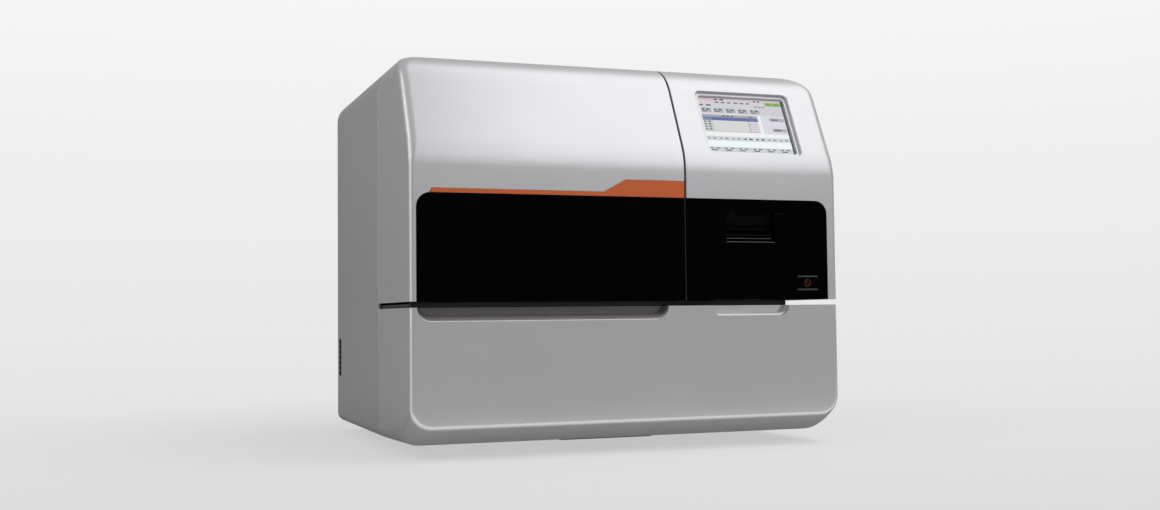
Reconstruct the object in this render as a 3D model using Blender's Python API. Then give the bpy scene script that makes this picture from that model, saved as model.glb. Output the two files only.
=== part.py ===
"""Coagulation analyzer: a bench-top instrument in named pieces, in metres, +Z up.

The origin is on the table under the middle of the casing. +X runs to the user's right, -Y is the front.
"""

import math

import bmesh
import bpy
from mathutils import Matrix, Vector

MM = 0.001

# Driving dimensions of the casing
BODY_WIDTH = 566 * MM
BODY_DEPTH = 490 * MM
BODY_HEIGHT = 490 * MM
UNDERSIDE = 15 * MM
WALL = 3 * MM
PANEL = 3 * MM
SHEET = 2 * MM
CLEAR = 0.3 * MM
OVERRUN = 5 * MM
SEAM_BEHIND_FRONT = 178 * MM
SEAM_GAP = 1 * MM
UPPER_HEIGHT = 311 * MM
SLOT_HEIGHT = 7 * MM
CHAMBER_DEPTH = 303 * MM
RIGHT_UNIT_WIDTH = 215 * MM
SPLIT_GAP = 3 * MM
TOP_RADIUS = 27 * MM
REAR_RADIUS = 6 * MM
EDGE_RADIUS = 7 * MM
BOTTOM_RADIUS = 13 * MM
ROUND_SIDES = 24
CORNER_STEPS = 8
SMALL_CORNER_STEPS = 3
STRAIGHT_STEPS = 3

# Planes that follow from the driving dimensions
HALF = BODY_WIDTH / 2
FRONT = -BODY_DEPTH / 2
REAR = BODY_DEPTH / 2
SEAM = FRONT + SEAM_BEHIND_FRONT
FLOOR = UNDERSIDE + WALL
SLOT_BOTTOM = BODY_HEIGHT - UPPER_HEIGHT
SLOT_TOP = SLOT_BOTTOM + SLOT_HEIGHT
COVER_SPLIT = HALF - RIGHT_UNIT_WIDTH
CHAMBER_MIDDLE = (COVER_SPLIT - HALF) / 2

# Slanted upper front, in the side view
LEAN = math.radians(26)
BEND_ABOVE_SLOT = 159 * MM
BEND_RADIUS = 80 * MM
CROWN_RADIUS = 65 * MM
SLOPE_EDGE_GROWTH = 5.5 * MM
CROWN_EDGE_GROWTH = 5 * MM
BEND_START = SLOT_TOP + BEND_ABOVE_SLOT

# Chin under the front face
CHIN_LENGTH = 62 * MM
CHIN_EDGE = 35 * MM
CHIN_CORNER_RADIUS = 27 * MM
CHIN_ANGLE = math.radians(36)
CHIN_START = FRONT + CHIN_LENGTH


def steps_between(start, end, steps):
    return [start + (end - start) * i / steps for i in range(steps + 1)]


def material(name, colour, roughness, metallic=0.0):
    mat = bpy.data.materials.get(name) or bpy.data.materials.new(name)
    mat.use_nodes = True
    shader = mat.node_tree.nodes["Principled BSDF"]
    shader.inputs["Base Color"].default_value = (*colour, 1.0)
    shader.inputs["Roughness"].default_value = roughness
    shader.inputs["Metallic"].default_value = metallic
    mat.diffuse_color = (*colour, 1.0)
    return mat


def silver_paint():
    return material("silver_paint", (0.62, 0.62, 0.63), 0.42, 0.25)


def silver_moulding():
    return material("silver_moulding", (0.62, 0.62, 0.63), 0.42, 0.25)


def black_gloss():
    return material("black_gloss", (0.006, 0.006, 0.007), 0.12)


def black_plastic():
    return material("black_plastic", (0.02, 0.02, 0.022), 0.5)


def orange_film():
    return material("orange_film", (0.56, 0.11, 0.012), 0.4)


def plated_steel():
    return material("plated_steel", (0.55, 0.56, 0.57), 0.35, 0.9)


def aluminium():
    return material("aluminium", (0.7, 0.7, 0.71), 0.3, 0.95)


def grey_plastic():
    return material("grey_plastic", (0.33, 0.34, 0.35), 0.5)


def white_plastic():
    return material("white_plastic", (0.78, 0.78, 0.76), 0.45)


def clear_plastic():
    return material("clear_plastic", (0.72, 0.8, 0.82), 0.1)


def display_glass():
    return material("display_glass", (0.62, 0.62, 0.64), 0.15)


def paper():
    return material("paper", (0.85, 0.85, 0.82), 0.8)


def rubber():
    return material("rubber", (0.03, 0.03, 0.03), 0.8)


def board_green():
    return material("board_green", (0.03, 0.2, 0.08), 0.5)


SMOOTH = math.radians(35)


def finish(name, bm, mat, smooth_angle=None, open_skin=False):
    if not open_skin:
        bmesh.ops.recalc_face_normals(bm, faces=bm.faces)
    mesh = bpy.data.meshes.new(name)
    bm.to_mesh(mesh)
    bm.free()
    mesh.materials.append(mat)
    if smooth_angle is not None:
        mesh.shade_smooth()
        mesh.set_sharp_from_angle(angle=smooth_angle)
    obj = bpy.data.objects.new(name, mesh)
    bpy.context.scene.collection.objects.link(obj)
    return obj


def set_origin(obj, point):
    offset = Vector(point)
    obj.data.transform(Matrix.Translation(-offset))
    obj.location = offset
    return obj


def boolean(target, bm, operation):
    name = f"{target.name}_{operation.lower()}_{len(target.modifiers)}"
    cutter = finish(name, bm, target.data.materials[0])
    cutter.hide_render = True
    cutter.hide_set(True)
    cutter.display_type = "WIRE"
    modifier = target.modifiers.new(cutter.name, "BOOLEAN")
    modifier.operation = operation
    modifier.solver = "EXACT"
    modifier.object = cutter
    return target


def cut(target, bm):
    return boolean(target, bm, "DIFFERENCE")


def join(target, bm):
    return boolean(target, bm, "UNION")


# Points of an outline run in the two directions left when the axis is taken out
def place(axis, u, v, w):
    return {"x": (w, u, v), "y": (u, w, v), "z": (u, v, w)}[axis]


def skin(bm, rings, closed=True, caps=True):
    """Faces between rings of points that have the same count, and flat caps on the first and last."""
    rows = [[bm.verts.new(p) for p in ring] for ring in rings]
    count = len(rows[0])
    for low, high in zip(rows, rows[1:]):
        for i in range(count if closed else count - 1):
            j = (i + 1) % count
            bm.faces.new((low[i], low[j], high[j], high[i]))
    if caps:
        bm.faces.new(list(reversed(rows[0])))
        bm.faces.new(rows[-1])
    return rows


def prism(bm, outline, axis, start, end):
    skin(bm, [[place(axis, u, v, w) for u, v in outline] for w in (start, end)])
    return bm


def box(bm, low, high):
    outline = [(low[0], low[1]), (high[0], low[1]), (high[0], high[1]), (low[0], high[1])]
    return prism(bm, outline, "z", low[2], high[2])


def circle(centre, radius, sides=ROUND_SIDES):
    turn = 2 * math.pi / sides
    return [
        (centre[0] + radius * math.cos(turn * i), centre[1] + radius * math.sin(turn * i))
        for i in range(sides)
    ]


def cylinder(bm, centre, axis, radius, start, end, sides=ROUND_SIDES):
    return prism(bm, circle(centre, radius, sides), axis, start, end)


def pipe(bm, centre, axis, radius, bore, start, end, sides=ROUND_SIDES):
    """A tube open at both ends."""
    outer = circle(centre, radius, sides)
    inner = circle(centre, bore, sides)
    rings = [(outer, start), (outer, end), (inner, end), (inner, start), (outer, start)]
    points = [[place(axis, u, v, w) for u, v in ring] for ring, w in rings[:-1]]
    rows = skin(bm, points, caps=False)
    for i in range(sides):
        j = (i + 1) % sides
        bm.faces.new((rows[-1][i], rows[-1][j], rows[0][j], rows[0][i]))
    return bm


def turned(bm, centre, axis, profile, sides=ROUND_SIDES):
    """A solid turned about an axis from (height, radius) pairs, with flat ends."""
    skin(bm, [[place(axis, u, v, w) for u, v in circle(centre, r, sides)] for w, r in profile])
    return bm


def cup(bm, centre, axis, radius, bore, start, end, floor, sides=ROUND_SIDES):
    """A round cup whose mouth is at end and whose bottom is floor thick."""
    profile = [(start, radius), (end, radius), (end, bore), (start + floor, bore)]
    return turned(bm, centre, axis, profile, sides)


def arc(centre, radius, start, end, steps=CORNER_STEPS):
    return [
        (centre[0] + radius * math.cos(a), centre[1] + radius * math.sin(a))
        for a in steps_between(start, end, steps)
    ]


def rounded(u0, u1, v0, v1, radii, steps=CORNER_STEPS):
    """A rectangle whose corner radii run from low-u low-v round to low-u high-v; zero is sharp."""
    corners = [(u0, v0, 1, 1), (u1, v0, -1, 1), (u1, v1, -1, -1), (u0, v1, 1, -1)]
    quarter = math.pi / 2
    points = []
    for i, ((u, v, du, dv), radius) in enumerate(zip(corners, radii)):
        if radius == 0:
            points.append((u, v))
            continue
        start = math.pi + quarter * i
        points += arc((u + du * radius, v + dv * radius), radius, start, start + quarter, steps)
    return points


# The casing's outer form
BEND_END = BEND_START + BEND_RADIUS * math.sin(LEAN)
BEND_END_Y = FRONT + BEND_RADIUS * (1 - math.cos(LEAN))
CROWN_Z = BODY_HEIGHT - CROWN_RADIUS
CROWN_TANGENT = CROWN_Z + CROWN_RADIUS * math.sin(LEAN)
CROWN_TANGENT_Y = BEND_END_Y + (CROWN_TANGENT - BEND_END) * math.tan(LEAN)
CROWN_Y = CROWN_TANGENT_Y + CROWN_RADIUS * math.cos(LEAN)
SHOULDER = BODY_HEIGHT - TOP_RADIUS


def front_y(z):
    """Where the front surface is at a height above the slot."""
    if z <= BEND_START:
        return FRONT
    if z <= BEND_END:
        return FRONT + BEND_RADIUS - math.sqrt(BEND_RADIUS**2 - (z - BEND_START) ** 2)
    if z <= CROWN_TANGENT:
        return BEND_END_Y + (z - BEND_END) * math.tan(LEAN)
    return CROWN_Y - math.sqrt(max(CROWN_RADIUS**2 - (z - CROWN_Z) ** 2, 0))


def half_width(z):
    if z <= SHOULDER:
        return HALF
    return HALF - TOP_RADIUS + math.sqrt(max(TOP_RADIUS**2 - (z - SHOULDER) ** 2, 0))


def edge_radius(z):
    """The round on the front's left and right edges, which widens up the bend and again over the crown."""
    bend = min(max((z - BEND_START) / (BEND_END - BEND_START), 0), 1)
    crown = max(z - SHOULDER, 0) / TOP_RADIUS
    return EDGE_RADIUS + SLOPE_EDGE_GROWTH * bend + CROWN_EDGE_GROWTH * crown**2


def upper_levels():
    bend = [BEND_START + BEND_RADIUS * math.sin(a) for a in steps_between(0, LEAN, CORNER_STEPS)]
    crown = [SHOULDER + TOP_RADIUS * math.sin(a) for a in steps_between(0, math.pi / 2, CORNER_STEPS)]
    straight = steps_between(SLOT_TOP, BEND_START, STRAIGHT_STEPS)
    slope = steps_between(BEND_END, SHOULDER, STRAIGHT_STEPS)
    return sorted([*straight[:-1], *bend[:-1], *slope[:-1], *crown, CROWN_TANGENT])


def upper_ring(z, left, right, channel):
    """The plan of an upper cover at one height; a side given as None follows the casing."""
    y = front_y(z)
    radius = edge_radius(z)
    back = SEAM - (channel if z > SHOULDER + HINGE_BELOW_TOP else SEAM_GAP / 2)
    quarter = math.pi / 2
    if left is None:
        x = -half_width(z)
        start = [(x, back)] + arc((x + radius, y + radius), radius, 2 * quarter, 3 * quarter)
    else:
        start = [(left, back), (left, y)]
    if right is None:
        x = half_width(z)
        end = arc((x - radius, y + radius), radius, -quarter, 0) + [(x, back)]
    else:
        end = [(right, y), (right, back)]
    return [(px, py, z) for px, py in start + end]


def outward(bm, centre):
    """Turns every face of an open skin away from a point inside it."""
    bm.normal_update()
    lean = sum((f.calc_center_median() - centre).dot(f.normal) * f.calc_area() for f in bm.faces)
    if lean < 0:
        bmesh.ops.reverse_faces(bm, faces=bm.faces)
    return bm


def shell(name, bm, mat, centre):
    """An open skin given its wall thickness on the inside."""
    outward(bm, Vector(centre))
    obj = finish(name, bm, mat, SMOOTH, open_skin=True)
    modifier = obj.modifiers.new("wall", "SOLIDIFY")
    modifier.thickness = WALL
    modifier.offset = -1
    modifier.solidify_mode = "NON_MANIFOLD"
    modifier.nonmanifold_thickness_mode = "CONSTRAINTS"
    return obj


def upper_shell(name, left, right, channel):
    bm = bmesh.new()
    rings = [upper_ring(z, left, right, channel) for z in upper_levels()]
    rows = skin(bm, rings, closed=False, caps=False)
    bm.faces.new(rows[-1])
    middle = ((left or -HALF) + (right or HALF)) / 2
    return shell(name, bm, silver_moulding(), (middle, SEAM, (SLOT_TOP + BODY_HEIGHT) / 2))


# Light shield cover with its window and stripe
WINDOW_LEFT_INSET = 9 * MM
WINDOW_HEIGHT = 127 * MM
WINDOW_RADIUS = 17 * MM
WINDOW_THICK = 4 * MM
STRIPE_INSET = 17.5 * MM
STRIPE_HEIGHT = 5 * MM
STRIPE_THICK = 0.5 * MM
FLAG_HEIGHT = 20.6 * MM
FLAG_LENGTH = 107.5 * MM
FLAG_SLOPE = 28.5 * MM
HINGE_CHANNEL = 8 * MM
HINGE_BELOW_TOP = 6 * MM
HINGE_Z = BODY_HEIGHT - HINGE_BELOW_TOP
COVER_RIGHT = COVER_SPLIT - SPLIT_GAP / 2
WINDOW_LEFT = -HALF + WINDOW_LEFT_INSET
WINDOW_TOP = SLOT_TOP + WINDOW_HEIGHT
STRIPE_LEFT = WINDOW_LEFT + STRIPE_INSET
FLAG_FOOT = COVER_RIGHT - FLAG_LENGTH
FLAG_SHOULDER = FLAG_FOOT + FLAG_SLOPE


def stripe_outline(grow):
    """The stripe with its flag; grow widens it on all sides but its right end."""
    low = WINDOW_TOP + CLEAR - grow
    high = WINDOW_TOP + CLEAR + STRIPE_HEIGHT + grow
    flag = WINDOW_TOP + CLEAR + FLAG_HEIGHT + grow
    right = COVER_RIGHT + (grow or -CLEAR)
    return [
        (STRIPE_LEFT - grow, low),
        (right, low),
        (right, flag),
        (FLAG_SHOULDER - grow, flag),
        (FLAG_FOOT - grow, high),
        (STRIPE_LEFT - grow, high),
    ]


def make_light_shield_cover():
    obj = upper_shell("light_shield_cover", None, COVER_RIGHT, HINGE_CHANNEL)
    radii = (0, 0, 0, WINDOW_RADIUS + CLEAR)
    opening = rounded(
        WINDOW_LEFT - CLEAR, COVER_RIGHT + OVERRUN, SLOT_TOP - OVERRUN, WINDOW_TOP + CLEAR, radii
    )
    cut(obj, prism(bmesh.new(), opening, "y", FRONT - OVERRUN, FRONT + WINDOW_THICK + CLEAR))
    pocket = stripe_outline(CLEAR)
    cut(obj, prism(bmesh.new(), pocket, "y", FRONT - OVERRUN, FRONT + STRIPE_THICK + CLEAR))
    return set_origin(obj, (0, SEAM, HINGE_Z))


def make_cover_window():
    radii = (0, 0, 0, WINDOW_RADIUS)
    outline = rounded(WINDOW_LEFT, COVER_RIGHT, SLOT_TOP, WINDOW_TOP, radii)
    bm = prism(bmesh.new(), outline, "y", FRONT, FRONT + WINDOW_THICK)
    return finish("cover_window", bm, black_gloss())


def make_cover_stripe():
    bm = prism(bmesh.new(), stripe_outline(0), "y", FRONT, FRONT + STRIPE_THICK)
    return finish("cover_stripe", bm, orange_film())


# Hinge of the light shield cover
HINGE_PIN_RADIUS = 1.2 * MM
KNUCKLE_RADIUS = 2.6 * MM
KNUCKLE_COUNT = 7
HINGE_LEAF = 24 * MM
HINGE_LEFT_INSET = 83 * MM
HINGE_RIGHT_INSET = 68 * MM
HINGE_SIDES = 16
HINGE_LEFT = -HALF + HINGE_LEFT_INSET
HINGE_RIGHT = COVER_SPLIT - HINGE_RIGHT_INSET


def hinge_leaf(name, direction, parity):
    """A leaf with every second knuckle, low near the pin so that it clears the casing as it turns.

    The direction is 1 towards the rear and -1 towards the front.
    """
    pitch = (HINGE_RIGHT - HINGE_LEFT) / KNUCKLE_COUNT
    low = HINGE_Z - KNUCKLE_RADIUS
    high = HINGE_Z + KNUCKLE_RADIUS
    near = SEAM + direction * (2 * KNUCKLE_RADIUS + CLEAR)
    far = SEAM + direction * HINGE_LEAF
    edges = sorted((near, far))
    bm = box(bmesh.new(), (HINGE_LEFT, edges[0], low), (HINGE_RIGHT, edges[1], high))
    obj = finish(name, bm, plated_steel())
    knuckles = bmesh.new()
    start = math.pi / 2 if direction > 0 else -math.pi / 2
    nose = arc((SEAM, HINGE_Z), KNUCKLE_RADIUS, start, start + math.pi, HINGE_SIDES)
    root = near + direction * KNUCKLE_RADIUS
    tail = [(root, low), (root, HINGE_Z), (near, HINGE_Z)]
    if direction < 0:
        tail.reverse()
    for i in range(parity, KNUCKLE_COUNT, 2):
        x = HINGE_LEFT + pitch * i
        prism(knuckles, nose + tail, "x", x + CLEAR, x + pitch - CLEAR)
    join(obj, knuckles)
    bore = HINGE_PIN_RADIUS + CLEAR
    start, end = HINGE_LEFT - OVERRUN, HINGE_RIGHT + OVERRUN
    return cut(obj, cylinder(bmesh.new(), (SEAM, HINGE_Z), "x", bore, start, end, HINGE_SIDES))


def make_hinge():
    hinge_leaf("cover_hinge_bracket", 1, 0)
    pin = cylinder(
        bmesh.new(), (SEAM, HINGE_Z), "x", HINGE_PIN_RADIUS, HINGE_LEFT, HINGE_RIGHT, HINGE_SIDES
    )
    finish("cover_hinge_pin", pin, plated_steel())
    return set_origin(hinge_leaf("cover_hinge_leaf", -1, 1), (0, SEAM, HINGE_Z))


# Right-hand cover with the display well and the window opening
WINDOW_RIGHT_INSET = 14.6 * MM
DISPLAY_INSET = 35 * MM
DISPLAY_WIDTH = 132.5 * MM
DISPLAY_LOW = -9 * MM
DISPLAY_HIGH = 86 * MM
DISPLAY_DEPTH = 8 * MM
DISPLAY_CORNER = 7 * MM
RIM_CHAMFER = 1.2 * MM
LEDGE_DEPTH = 4 * MM
LEDGE_WIDTH = 3.6 * MM
PANEL_LEFT = COVER_SPLIT + SPLIT_GAP / 2
WINDOW_RIGHT = HALF - WINDOW_RIGHT_INSET
DISPLAY_LEFT = PANEL_LEFT + DISPLAY_INSET
DISPLAY_RIGHT = DISPLAY_LEFT + DISPLAY_WIDTH


def on_slant(bm):
    """Carries points from the display's own frame, x right, y up the slope, z out of it."""
    turn = Matrix(
        (
            (1, 0, 0, 0),
            (0, math.sin(LEAN), -math.cos(LEAN), BEND_END_Y),
            (0, math.cos(LEAN), math.sin(LEAN), BEND_END),
            (0, 0, 0, 1),
        )
    )
    bmesh.ops.transform(bm, matrix=turn, verts=bm.verts)
    return bm


def display_outline(inset):
    radius = max(DISPLAY_CORNER - inset / 2, DISPLAY_CORNER / 2)
    sides = (DISPLAY_LEFT + inset, DISPLAY_RIGHT - inset, DISPLAY_LOW + inset, DISPLAY_HIGH - inset)
    return rounded(*sides, (radius,) * 4)


def make_display_cover():
    obj = upper_shell("display_cover", PANEL_LEFT, None, SEAM_GAP / 2)
    well = prism(bmesh.new(), display_outline(-WALL), "z", -DISPLAY_DEPTH, -WALL / 2)
    join(obj, on_slant(well))
    steps = (
        (-WALL, -RIM_CHAMFER),
        (0, -RIM_CHAMFER),
        (RIM_CHAMFER, 0),
        (LEDGE_DEPTH, 0),
        (LEDGE_DEPTH, LEDGE_WIDTH),
        (DISPLAY_DEPTH + OVERRUN, LEDGE_WIDTH),
    )
    rings = []
    for depth, inset in steps:
        rings.append([(x, y, -depth) for x, y in display_outline(inset)])
    opening = bmesh.new()
    skin(opening, rings)
    cut(obj, on_slant(opening))
    radii = (0, 0, WINDOW_RADIUS + CLEAR, 0)
    outline = rounded(
        PANEL_LEFT - OVERRUN, WINDOW_RIGHT + CLEAR, SLOT_TOP - OVERRUN, WINDOW_TOP + CLEAR, radii
    )
    cut(obj, prism(bmesh.new(), outline, "y", FRONT - OVERRUN, FRONT + WINDOW_THICK + CLEAR))
    return obj


SCREEN_THICK = 18 * MM


def make_display():
    front = -DISPLAY_DEPTH - CLEAR
    module = prism(bmesh.new(), display_outline(0), "z", front - SCREEN_THICK, front)
    return finish("lcd_touch_screen", on_slant(module), display_glass())


# Printer door, its pivots and the black panel round it
DOOR_INSET = 37.5 * MM
DOOR_WIDTH = 99 * MM
DOOR_HEIGHT = 111.5 * MM
DOOR_GAP = 0.5 * MM
DOOR_PIVOT_RADIUS = 0.8 * MM
DOOR_PIVOT_LENGTH = 4 * MM
OUTLET_INSET = 17 * MM
OUTLET_WIDTH = 68 * MM
OUTLET_HEIGHT = 39 * MM
BUTTON_BESIDE_DOOR = 17.5 * MM
BUTTON_ABOVE_SLOT = 11.5 * MM
BUTTON_WIDTH = 31.9 * MM
BUTTON_HEIGHT = 19.1 * MM
BUTTON_CORNER = 2 * MM
DOOR_LEFT = PANEL_LEFT + DOOR_INSET
DOOR_RIGHT = DOOR_LEFT + DOOR_WIDTH
DOOR_TOP = SLOT_TOP + DOOR_HEIGHT
OUTLET_LEFT = DOOR_LEFT + OUTLET_INSET
OUTLET_RIGHT = OUTLET_LEFT + OUTLET_WIDTH
OUTLET_BOTTOM = DOOR_TOP - OUTLET_HEIGHT
BUTTON_LEFT = DOOR_RIGHT + BUTTON_BESIDE_DOOR
BUTTON_RIGHT = BUTTON_LEFT + BUTTON_WIDTH
BUTTON_LOW = SLOT_TOP + BUTTON_ABOVE_SLOT
BUTTON_HIGH = BUTTON_LOW + BUTTON_HEIGHT
DOOR_PIVOT_Y = FRONT + WINDOW_THICK / 2
DOOR_PIVOT_Z = DOOR_TOP - WINDOW_THICK / 2


def button_outline(grow):
    radii = (BUTTON_CORNER + grow,) * 4
    sides = (BUTTON_LEFT - grow, BUTTON_RIGHT + grow, BUTTON_LOW - grow, BUTTON_HIGH + grow)
    return rounded(*sides, radii, SMALL_CORNER_STEPS)


def make_printer_window_panel():
    door_left = DOOR_LEFT - DOOR_GAP
    door_right = DOOR_RIGHT + DOOR_GAP
    outline = [
        (PANEL_LEFT, SLOT_TOP),
        (door_left, SLOT_TOP),
        (door_left, DOOR_TOP + DOOR_GAP),
        (door_right, DOOR_TOP + DOOR_GAP),
        (door_right, SLOT_TOP),
        (WINDOW_RIGHT, SLOT_TOP),
    ]
    centre = (WINDOW_RIGHT - WINDOW_RADIUS, WINDOW_TOP - WINDOW_RADIUS)
    outline += arc(centre, WINDOW_RADIUS, 0, math.pi / 2)
    outline.append((PANEL_LEFT, WINDOW_TOP))
    bm = prism(bmesh.new(), outline, "y", FRONT, FRONT + WINDOW_THICK)
    obj = finish("printer_window_panel", bm, black_gloss())
    hole = prism(bmesh.new(), button_outline(CLEAR), "y", FRONT - OVERRUN, FRONT + OVERRUN)
    cut(obj, hole)
    bore = DOOR_PIVOT_RADIUS + CLEAR
    reach = DOOR_PIVOT_LENGTH + CLEAR
    pivots = bmesh.new()
    centre = (DOOR_PIVOT_Y, DOOR_PIVOT_Z)
    cylinder(pivots, centre, "x", bore, door_left - reach, door_left + DOOR_GAP, HINGE_SIDES)
    cylinder(pivots, centre, "x", bore, door_right - DOOR_GAP, door_right + reach, HINGE_SIDES)
    return cut(obj, pivots)


def make_printer_cover():
    radius = WINDOW_THICK / 2
    top = arc((DOOR_PIVOT_Y, DOOR_PIVOT_Z), radius, 0, math.pi, HINGE_SIDES)
    outline = top + [(FRONT, SLOT_TOP), (FRONT + WINDOW_THICK, SLOT_TOP)]
    obj = finish("printer_cover", prism(bmesh.new(), outline, "x", DOOR_LEFT, DOOR_RIGHT), black_gloss())
    low = (OUTLET_LEFT, FRONT - OVERRUN, OUTLET_BOTTOM)
    high = (OUTLET_RIGHT, FRONT + WINDOW_THICK + OVERRUN, DOOR_TOP + OVERRUN)
    cut(obj, box(bmesh.new(), low, high))
    pivots = bmesh.new()
    centre = (DOOR_PIVOT_Y, DOOR_PIVOT_Z)
    for x, side in ((DOOR_LEFT, -1), (DOOR_RIGHT, 1)):
        edges = sorted((x - side * OVERRUN, x + side * DOOR_PIVOT_LENGTH))
        cylinder(pivots, centre, "x", DOOR_PIVOT_RADIUS, *edges, HINGE_SIDES)
    join(obj, pivots)
    return set_origin(obj, (0, DOOR_PIVOT_Y, DOOR_PIVOT_Z))


BUTTON_DEPTH = 10 * MM
BUTTON_FLANGE = 2 * MM
HOUSING_DEPTH = 18 * MM


def make_stop_button():
    bm = prism(bmesh.new(), button_outline(0), "y", FRONT, FRONT + BUTTON_DEPTH)
    obj = finish("stop_button", bm, black_plastic())
    flange_front = FRONT + WINDOW_THICK + CLEAR
    flange = prism(
        bmesh.new(), button_outline(BUTTON_FLANGE), "y", flange_front, flange_front + BUTTON_FLANGE
    )
    join(obj, flange)
    front = FRONT + WINDOW_THICK + CLEAR
    inner = BUTTON_FLANGE + CLEAR
    housing = prism(bmesh.new(), button_outline(inner + SHEET), "y", front, front + HOUSING_DEPTH)
    case = finish("stop_button_housing", housing, black_plastic())
    hollow = prism(
        bmesh.new(), button_outline(inner), "y", front - OVERRUN, front + HOUSING_DEPTH - SHEET
    )
    cut(case, hollow)
    return obj


# Lower front cover with its two finger grips
GRIP_INSET = 8 * MM
GRIP_BESIDE_SPLIT = 23 * MM
GRIP_HEIGHT = 19.4 * MM
GRIP_LEFT_RADIUS = 18 * MM
GRIP_RIGHT_RADIUS = 19 * MM
SMALL_GRIP_WIDTH = 105.3 * MM
SMALL_GRIP_HEIGHT = 15 * MM
SMALL_GRIP_LEFT_RADIUS = 4 * MM
SMALL_GRIP_RIGHT_RADIUS = 12 * MM
GRIP_DEPTH = 14 * MM
GRIP_RISE_SHARE = 0.55
GRIP_DRAW = 5 * MM
GRIP_LEFT = -HALF + GRIP_INSET
GRIP_RIGHT = COVER_SPLIT - GRIP_BESIDE_SPLIT
GRIP_BOTTOM = SLOT_BOTTOM - GRIP_HEIGHT
SMALL_GRIP_LEFT = DOOR_LEFT + CLEAR
SMALL_GRIP_RIGHT = SMALL_GRIP_LEFT + SMALL_GRIP_WIDTH
SMALL_GRIP_BOTTOM = SLOT_BOTTOM - SMALL_GRIP_HEIGHT


def grip_form(left, right, bottom, radii, grow, front, top):
    """A scoop that narrows and rises towards its back."""
    back = FRONT + GRIP_DEPTH + grow
    rise = GRIP_RISE_SHARE * (SLOT_BOTTOM - bottom)
    rings = []
    for y, draw, lift in ((front, 0, 0), (back, GRIP_DRAW, rise)):
        corner = (radii[0] + grow - draw / 2, radii[1] + grow - draw / 2, 0, 0)
        floor = bottom + lift - grow
        limit = top - floor - CLEAR
        corner = tuple(min(r, limit) for r in corner)
        outline = rounded(left + draw - grow, right - draw + grow, floor, top, corner)
        rings.append([(x, y, z) for x, z in outline])
    bm = bmesh.new()
    skin(bm, rings)
    return bm


def tray_ring(y):
    """The lower cover's left side, bottom and right side at one distance from the front."""
    fillet_start = FRONT + EDGE_RADIUS
    chin_end = fillet_start - EDGE_RADIUS * math.sin(CHIN_ANGLE)
    inset = 0
    if y < fillet_start:
        turn = min((fillet_start - y) / EDGE_RADIUS, 1)
        inset = EDGE_RADIUS * (1 - math.sqrt(max(1 - turn**2, 0)))
    edge_rise = EDGE_RADIUS * (1 - math.cos(CHIN_ANGLE))
    share = min(max((CHIN_START - y) / (CHIN_START - chin_end), 0), 1) ** 2
    bottom = UNDERSIDE + share * (CHIN_EDGE + edge_rise - UNDERSIDE)
    if y < chin_end:
        bottom = CHIN_EDGE + inset
    forward = min((SEAM - y) / (SEAM - fillet_start), 1)
    radius = BOTTOM_RADIUS + forward * (CHIN_CORNER_RADIUS - BOTTOM_RADIUS) - inset
    half = HALF - inset
    quarter = math.pi / 2
    left = arc((-half + radius, bottom + radius), radius, 2 * quarter, 3 * quarter)
    right = arc((half - radius, bottom + radius), radius, -quarter, 0)
    path = [(-half, SLOT_BOTTOM), *left, *right, (half, SLOT_BOTTOM)]
    return [(x, y, z) for x, z in path]


def tray_stations():
    fillet_start = FRONT + EDGE_RADIUS
    chin = steps_between(CHIN_START, fillet_start, CORNER_STEPS)
    angles = steps_between(0, math.pi / 2, CORNER_STEPS)[1:] + [CHIN_ANGLE]
    fillet = [fillet_start - EDGE_RADIUS * math.sin(a) for a in sorted(angles)]
    return [SEAM - SEAM_GAP / 2, *chin, *fillet]


def make_lower_front_cover():
    bm = bmesh.new()
    rows = skin(bm, [tray_ring(y) for y in tray_stations()], closed=False, caps=False)
    bm.faces.new(rows[-1])
    centre = (0, SEAM, (UNDERSIDE + SLOT_BOTTOM) / 2)
    obj = shell("lower_front_cover", bm, silver_moulding(), centre)
    grips = (
        (GRIP_LEFT, GRIP_RIGHT, GRIP_BOTTOM, (GRIP_LEFT_RADIUS, GRIP_RIGHT_RADIUS)),
        (
            SMALL_GRIP_LEFT,
            SMALL_GRIP_RIGHT,
            SMALL_GRIP_BOTTOM,
            (SMALL_GRIP_LEFT_RADIUS, SMALL_GRIP_RIGHT_RADIUS),
        ),
    )
    for left, right, bottom, radii in grips:
        join(obj, grip_form(left, right, bottom, radii, WALL, FRONT + WALL / 2, SLOT_BOTTOM))
        cut(obj, grip_form(left, right, bottom, radii, 0, FRONT - OVERRUN, SLOT_BOTTOM + OVERRUN))
    return obj


# Rear casing: main cover, rear panel, base plate, feet and filter tray
VENT_BEFORE_REAR = 15 * MM
VENT_WIDTH = 20 * MM
VENT_LOW = 83 * MM
VENT_HIGH = 137 * MM
VENT_SLATS = 7
SLAT_SHARE = 0.5
FOOT_RADIUS = 12 * MM
FOOT_INSET = 83 * MM
FRONT_FOOT_BEHIND_SEAM = 60 * MM
REAR_FOOT_BEFORE_REAR = 45 * MM
FILTER_LEFT_INSET = 205 * MM
FILTER_RIGHT_INSET = 239 * MM
FILTER_LENGTH = 80 * MM
FILTER_THICK = 1 * MM
VENT_REAR = REAR - VENT_BEFORE_REAR
VENT_FRONT = VENT_REAR - VENT_WIDTH
FOOT_X = HALF - FOOT_INSET
FRONT_FOOT_Y = SEAM + FRONT_FOOT_BEHIND_SEAM
REAR_FOOT_Y = REAR - REAR_FOOT_BEFORE_REAR
FILTER_LEFT = -HALF + FILTER_LEFT_INSET
FILTER_RIGHT = HALF - FILTER_RIGHT_INSET


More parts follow.
